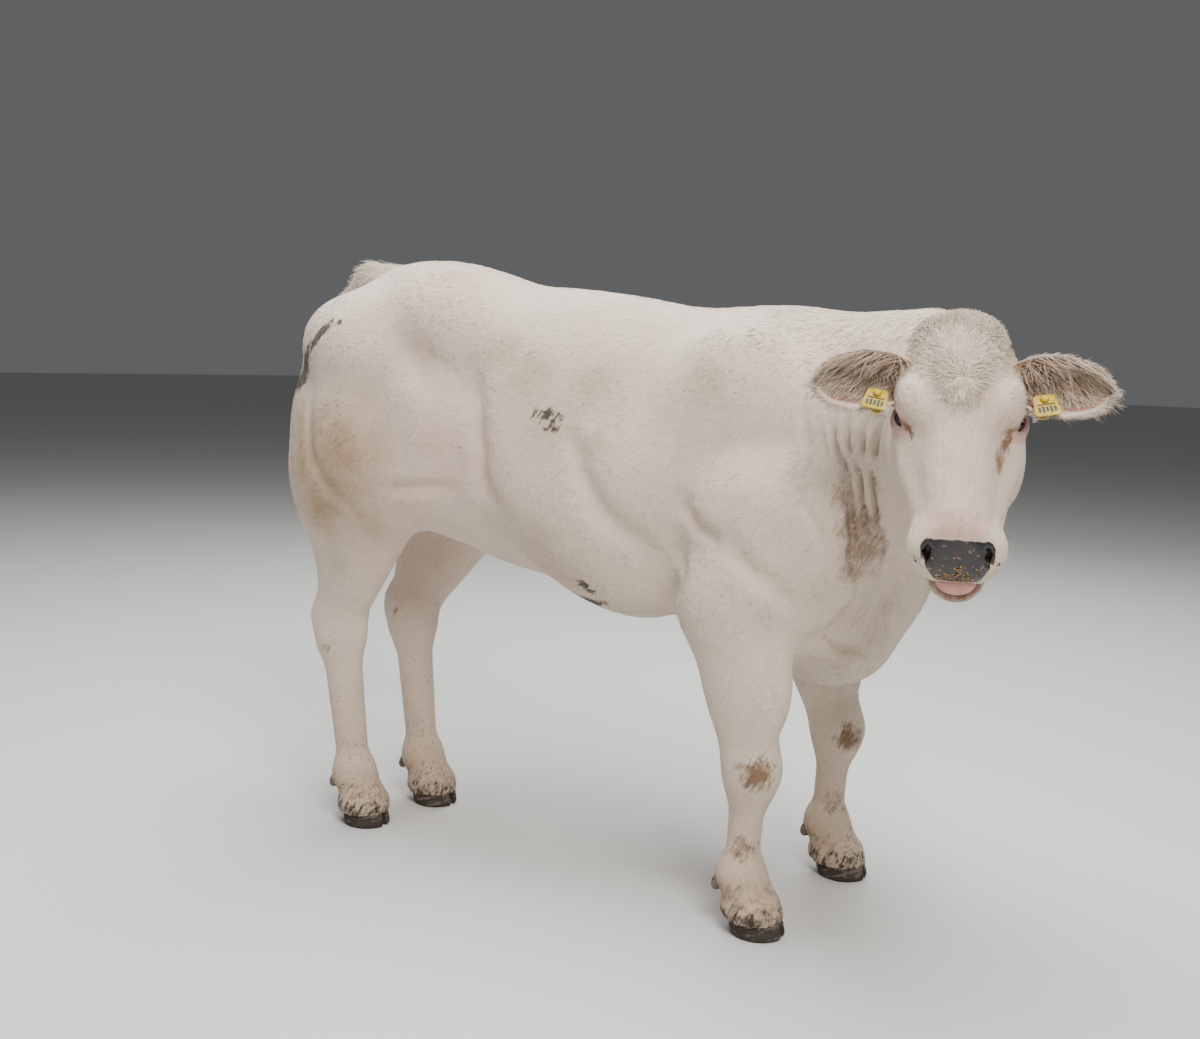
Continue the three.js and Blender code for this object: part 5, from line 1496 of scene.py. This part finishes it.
for name, side in (("right", -1), ("left", 1)):
    kind = earHair["back"]
    k = kind["count"]
    s, t = dice.uniform(0.0, 0.97, k), dice.uniform(-1, 1, k)
    ways = np.column_stack([t * 0.35 + dice.normal(0, 0.2, k), np.full(k, side * 1.0),
                            dice.normal(-0.1, 0.1, k)])
    earTufts("earBack_" + name, side, s, t, np.ones(k), ways, dice.uniform(*kind["length"], k),
             dice.uniform(*kind["width"], k), np.full(k, 0.3), np.zeros(k), rings=3, lift=0.16, sag=0.12)
    kind = earHair["rim"]
    k = kind["count"]
    s = dice.uniform(0.05, 1.0, k) ** 0.7 * 0.995
    t = np.where(dice.uniform(0, 1, k) < 0.6, 1, -1) * dice.uniform(0.74, 1.0, k)
    t = np.where(s > 0.9, dice.uniform(-1, 1, k), t)
    tip = smooth(0.8, 1.0, s)
    ways = np.column_stack([t * (0.75 - 0.35 * s) * (1 - 0.75 * tip), side * (0.55 + 0.6 * s),
                            dice.normal(0.05, 0.15, k)])
    ways += dice.normal(0, 0.16, (k, 3))
    earTufts("earRim_" + name, side, s, t, np.zeros(k), ways,
             dice.uniform(*kind["length"], k) * np.where(t > 0, 1.1, 0.8),
             dice.uniform(*kind["width"], k), np.full(k, 0.10), np.zeros(k), rings=4, lift=0.1, sag=0.2, wave=0.05)
    kind = earHair["inside"]
    k = kind["count"]
    s = dice.beta(1.2, 1.6, k) * 0.95
    t = -1 + 1.5 * dice.beta(1.0, 1.5, k)
    ways = np.column_stack([0.9 + dice.normal(0, 0.25, k),
                            side * (0.25 + 0.5 * s + dice.normal(0, 0.3, k)), np.full(k, 0.1)])
    earTufts("earInside_" + name, side, s, t, np.zeros(k), ways, dice.uniform(*kind["length"], k),
             dice.uniform(*kind["width"], k), 0.25 + 0.75 * dice.uniform(0, 1, k),
             0.2 * smooth(0.4, 0.1, s) * dice.uniform(0, 1, k), rings=4, lift=0.30, sag=0.12, wave=0.09)


# Lashes along the upper lid and a few whiskers on the lips
lashShape = {"perEye": 44, "length": (12, 20), "width": (0.5, 0.8), "lidWide": 16.5, "lidHigh": 25.0}
whiskerHair = {"count": 160, "length": (12, 26), "width": (0.35, 0.55), "rings": 4, "lift": 0.9,
               "sag": 0.25, "turnBy": 0.5}


def lidTufts():
    points, ways, normals = [], [], []
    for side in (-1, 1):
        m = turn(lidTurn[0] * side, lidTurn[1], lidTurn[2] * side)
        centre = np.array([eyeAt[0] + 2, side * (eyeAt[1] + 9), eyeAt[2] + 9])
        for angle in np.linspace(math.radians(95), math.radians(265), lashShape["perEye"]):
            onRim = np.array([lashShape["lidWide"] * math.cos(angle), 0, lashShape["lidHigh"] * math.sin(angle)])
            q = centre + m @ onRim
            out = q - eyeCentre(side)
            out /= np.linalg.norm(out)
            points.append(q + out * 1.0)
            ways.append(out * 0.8 + np.array([-0.25, side * 0.5, 0.45]) + dice.normal(0, 0.14, 3))
            normals.append(np.cross(out, [0, side, 0.3]) + 1e-3)
    return np.array(points), np.array(ways), np.array(normals)


points, ways, normals = lidTufts()
ways /= np.linalg.norm(ways, axis=1, keepdims=True)
normals -= ways * (normals * ways).sum(1, keepdims=True)
normals /= np.linalg.norm(normals, axis=1, keepdims=True)
count = len(points)
roots = fromHead(points)
makeTufts("lashes", roots, ways @ headTurn.T, normals @ headTurn.T, dice.uniform(*lashShape["length"], count),
          dice.uniform(*lashShape["width"], count), {"tan": np.zeros(count)}, combCoordinates(roots),
          unwrap(roots), rings=4, lift=0.1, sag=0.35)
lipArea = headward * smooth(muzzleEnd - 30, muzzleEnd + 10, skinH[:, 0]) * (skinH[:, 2] < -70) * ~bare
coatTufts("whiskers", lipArea, **whiskerHair)


# The switch: long wavy locks from the tail's end
print("hanging the tail switch")
switchShape = {"locks": 1300, "length": (110, 230), "width": (2.2, 4.6), "top": 650, "bottom": 552}


def tailX(z):
    return np.interp(z, [560, 660, 800], [-792, -796, -800])


def tailComb(points):
    return np.column_stack([points[:, 2] * 0.05, points[:, 0] * 3, points[:, 1] * 3]) / 1000


tailY = 46
count = switchShape["locks"]
depth = dice.uniform(0, 1, count)
height = switchShape["top"] + depth * (switchShape["bottom"] - switchShape["top"])
turned = dice.uniform(0, 2 * math.pi, count)
radius = 16 - 7 * depth
roots = np.column_stack([tailX(height) + radius * np.cos(turned), tailY + radius * np.sin(turned), height])
n = np.column_stack([np.cos(turned), np.sin(turned), np.zeros(count)])
ways = np.column_stack([0.07 * np.cos(turned), 0.07 * np.sin(turned), -np.ones(count)])
ways += dice.normal(0, 0.05, (count, 3))
ways /= np.linalg.norm(ways, axis=1, keepdims=True)
n -= ways * (n * ways).sum(1, keepdims=True)
n /= np.linalg.norm(n, axis=1, keepdims=True)
lengths = dice.uniform(*switchShape["length"], count) * (0.75 + 0.25 * depth)
switchMaterial = makeSwitchMaterial()
switchUv = np.stack([0.02 + 0.2 * turned / (2 * math.pi), 0.66 + 0.3 * depth], 1) * (0.5, 1.0) + (0.5, 0)
switch = makeTufts("tailSwitchHair", roots, ways, n, lengths, dice.uniform(*switchShape["width"], count),
                   {"mud": 0.5 * dice.uniform(0, 1, count) ** 3, "tan": np.zeros(count)}, tailComb(roots),
                   switchUv, rings=9, lift=0.10, sag=0.13, wave=0.045, waves=1.7, flat=0.4,
                   material=switchMaterial)
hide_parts("tail_switch")
# the tail's own end, inside the locks
coreShape = {"top": 660, "bottom": 470, "radius": 15, "rows": 16, "across": 20}
coreZ = np.linspace(coreShape["top"], coreShape["bottom"], coreShape["rows"])
coreRadius = coreShape["radius"] * np.sqrt(np.linspace(1, 0.02, coreShape["rows"]))
turned = np.arange(coreShape["across"]) * 2 * math.pi / coreShape["across"]
coreRings = [np.stack([tailX(z) + r * np.cos(turned), tailY + r * np.sin(turned),
                       np.full(len(turned), z)], 1) for z, r in zip(coreZ, coreRadius)]
points, quads, tris = loftRings(coreRings[::-1])
core = meshFrom("tailSwitchCore", points, (quads, tris), switchMaterial)
addComb(core, tailComb(points))


# Camera: level, turned 28 degrees to the trunk, rolled 2 degrees, 1.12 m above the ground
view = {"eye": (1378, -2625, 1120), "heading": 28.0, "roll": 1.95, "focalPixels": 1300.0,
        "middlePixels": (600.0, 362.0), "picture": (1200, 1039)}
cameraData = bpy.data.cameras.new("camera")
camera = bpy.data.objects.new("camera", cameraData)
bpy.context.scene.collection.objects.link(camera)
heading, roll = math.radians(view["heading"]), math.radians(view["roll"])
right = Vector((math.cos(heading), math.sin(heading), 0))
ahead = Vector((-math.sin(heading), math.cos(heading), 0))
up = Vector((0, 0, 1))
across = math.cos(roll) * right + math.sin(roll) * up
upright = math.cos(roll) * up - math.sin(roll) * right
camera.matrix_world = Matrix.Translation(Vector(toFrame(view["eye"]))) @ Matrix(
    (across, upright, -ahead)).transposed().to_4x4()
cameraData.sensor_width = 36
cameraData.lens = 36 * view["focalPixels"] / view["picture"][0]
cameraData.shift_y = (view["middlePixels"][1] - view["picture"][1] / 2) / view["picture"][0]
cameraData.clip_end = 200
bpy.context.scene.camera = camera

# Floor and light
floorMaterial, _, floorShader = newMaterial("floor", 0.8)
floorShader.inputs["Base Color"].default_value = (0.60, 0.59, 0.57, 1)
floorMesh = bpy.data.meshes.new("floor")
floorMesh.from_pydata([(-40, -40, 0), (40, -40, 0), (40, 60, 0), (-40, 60, 0)], [], [(0, 1, 2, 3)])
floorMesh.materials.append(floorMaterial)
floor = bpy.data.objects.new("floor", floorMesh)
bpy.context.scene.collection.objects.link(floor)


lights = {
    "key": {"at": (2.6, -3.0, 4.6), "aim": (0.1, 0, 0.7), "size": 2.4, "power": 330,
            "color": (1.0, 0.98, 0.95)},
    "top": {"at": (-0.5, 0.2, 5.2), "aim": (0, 0, 0.8), "size": 4.4, "power": 480,
            "color": (0.95, 0.98, 1.0)},
    "fill": {"at": (-3.8, -2.6, 2.0), "aim": (0, 0, 0.8), "size": 3.0, "power": 20},
    "back": {"at": (-1.0, 4.0, 3.6), "aim": (0, 0, 0.9), "size": 3.0, "power": 80},
}
surround = {"color": (0.86, 0.88, 0.9, 1), "strength": 0.14}


def softLight(name, at, aim, size, power, color=(1, 1, 1)):
    data = bpy.data.lights.new(name, "AREA")
    data.shape = "DISK"
    data.size = size
    data.energy = power
    data.color = color
    lamp = bpy.data.objects.new(name, data)
    lamp.location = at
    lamp.rotation_mode = "QUATERNION"
    lamp.rotation_quaternion = (Vector(aim) - Vector(at)).to_track_quat("-Z", "Y")
    bpy.context.scene.collection.objects.link(lamp)


for name, light in lights.items():
    softLight(name, **light)
world = bpy.data.worlds.new("studio")
bpy.context.scene.world = world
world.use_nodes = True
background = world.node_tree.nodes["Background"]
background.inputs["Color"].default_value = surround["color"]
background.inputs["Strength"].default_value = surround["strength"]
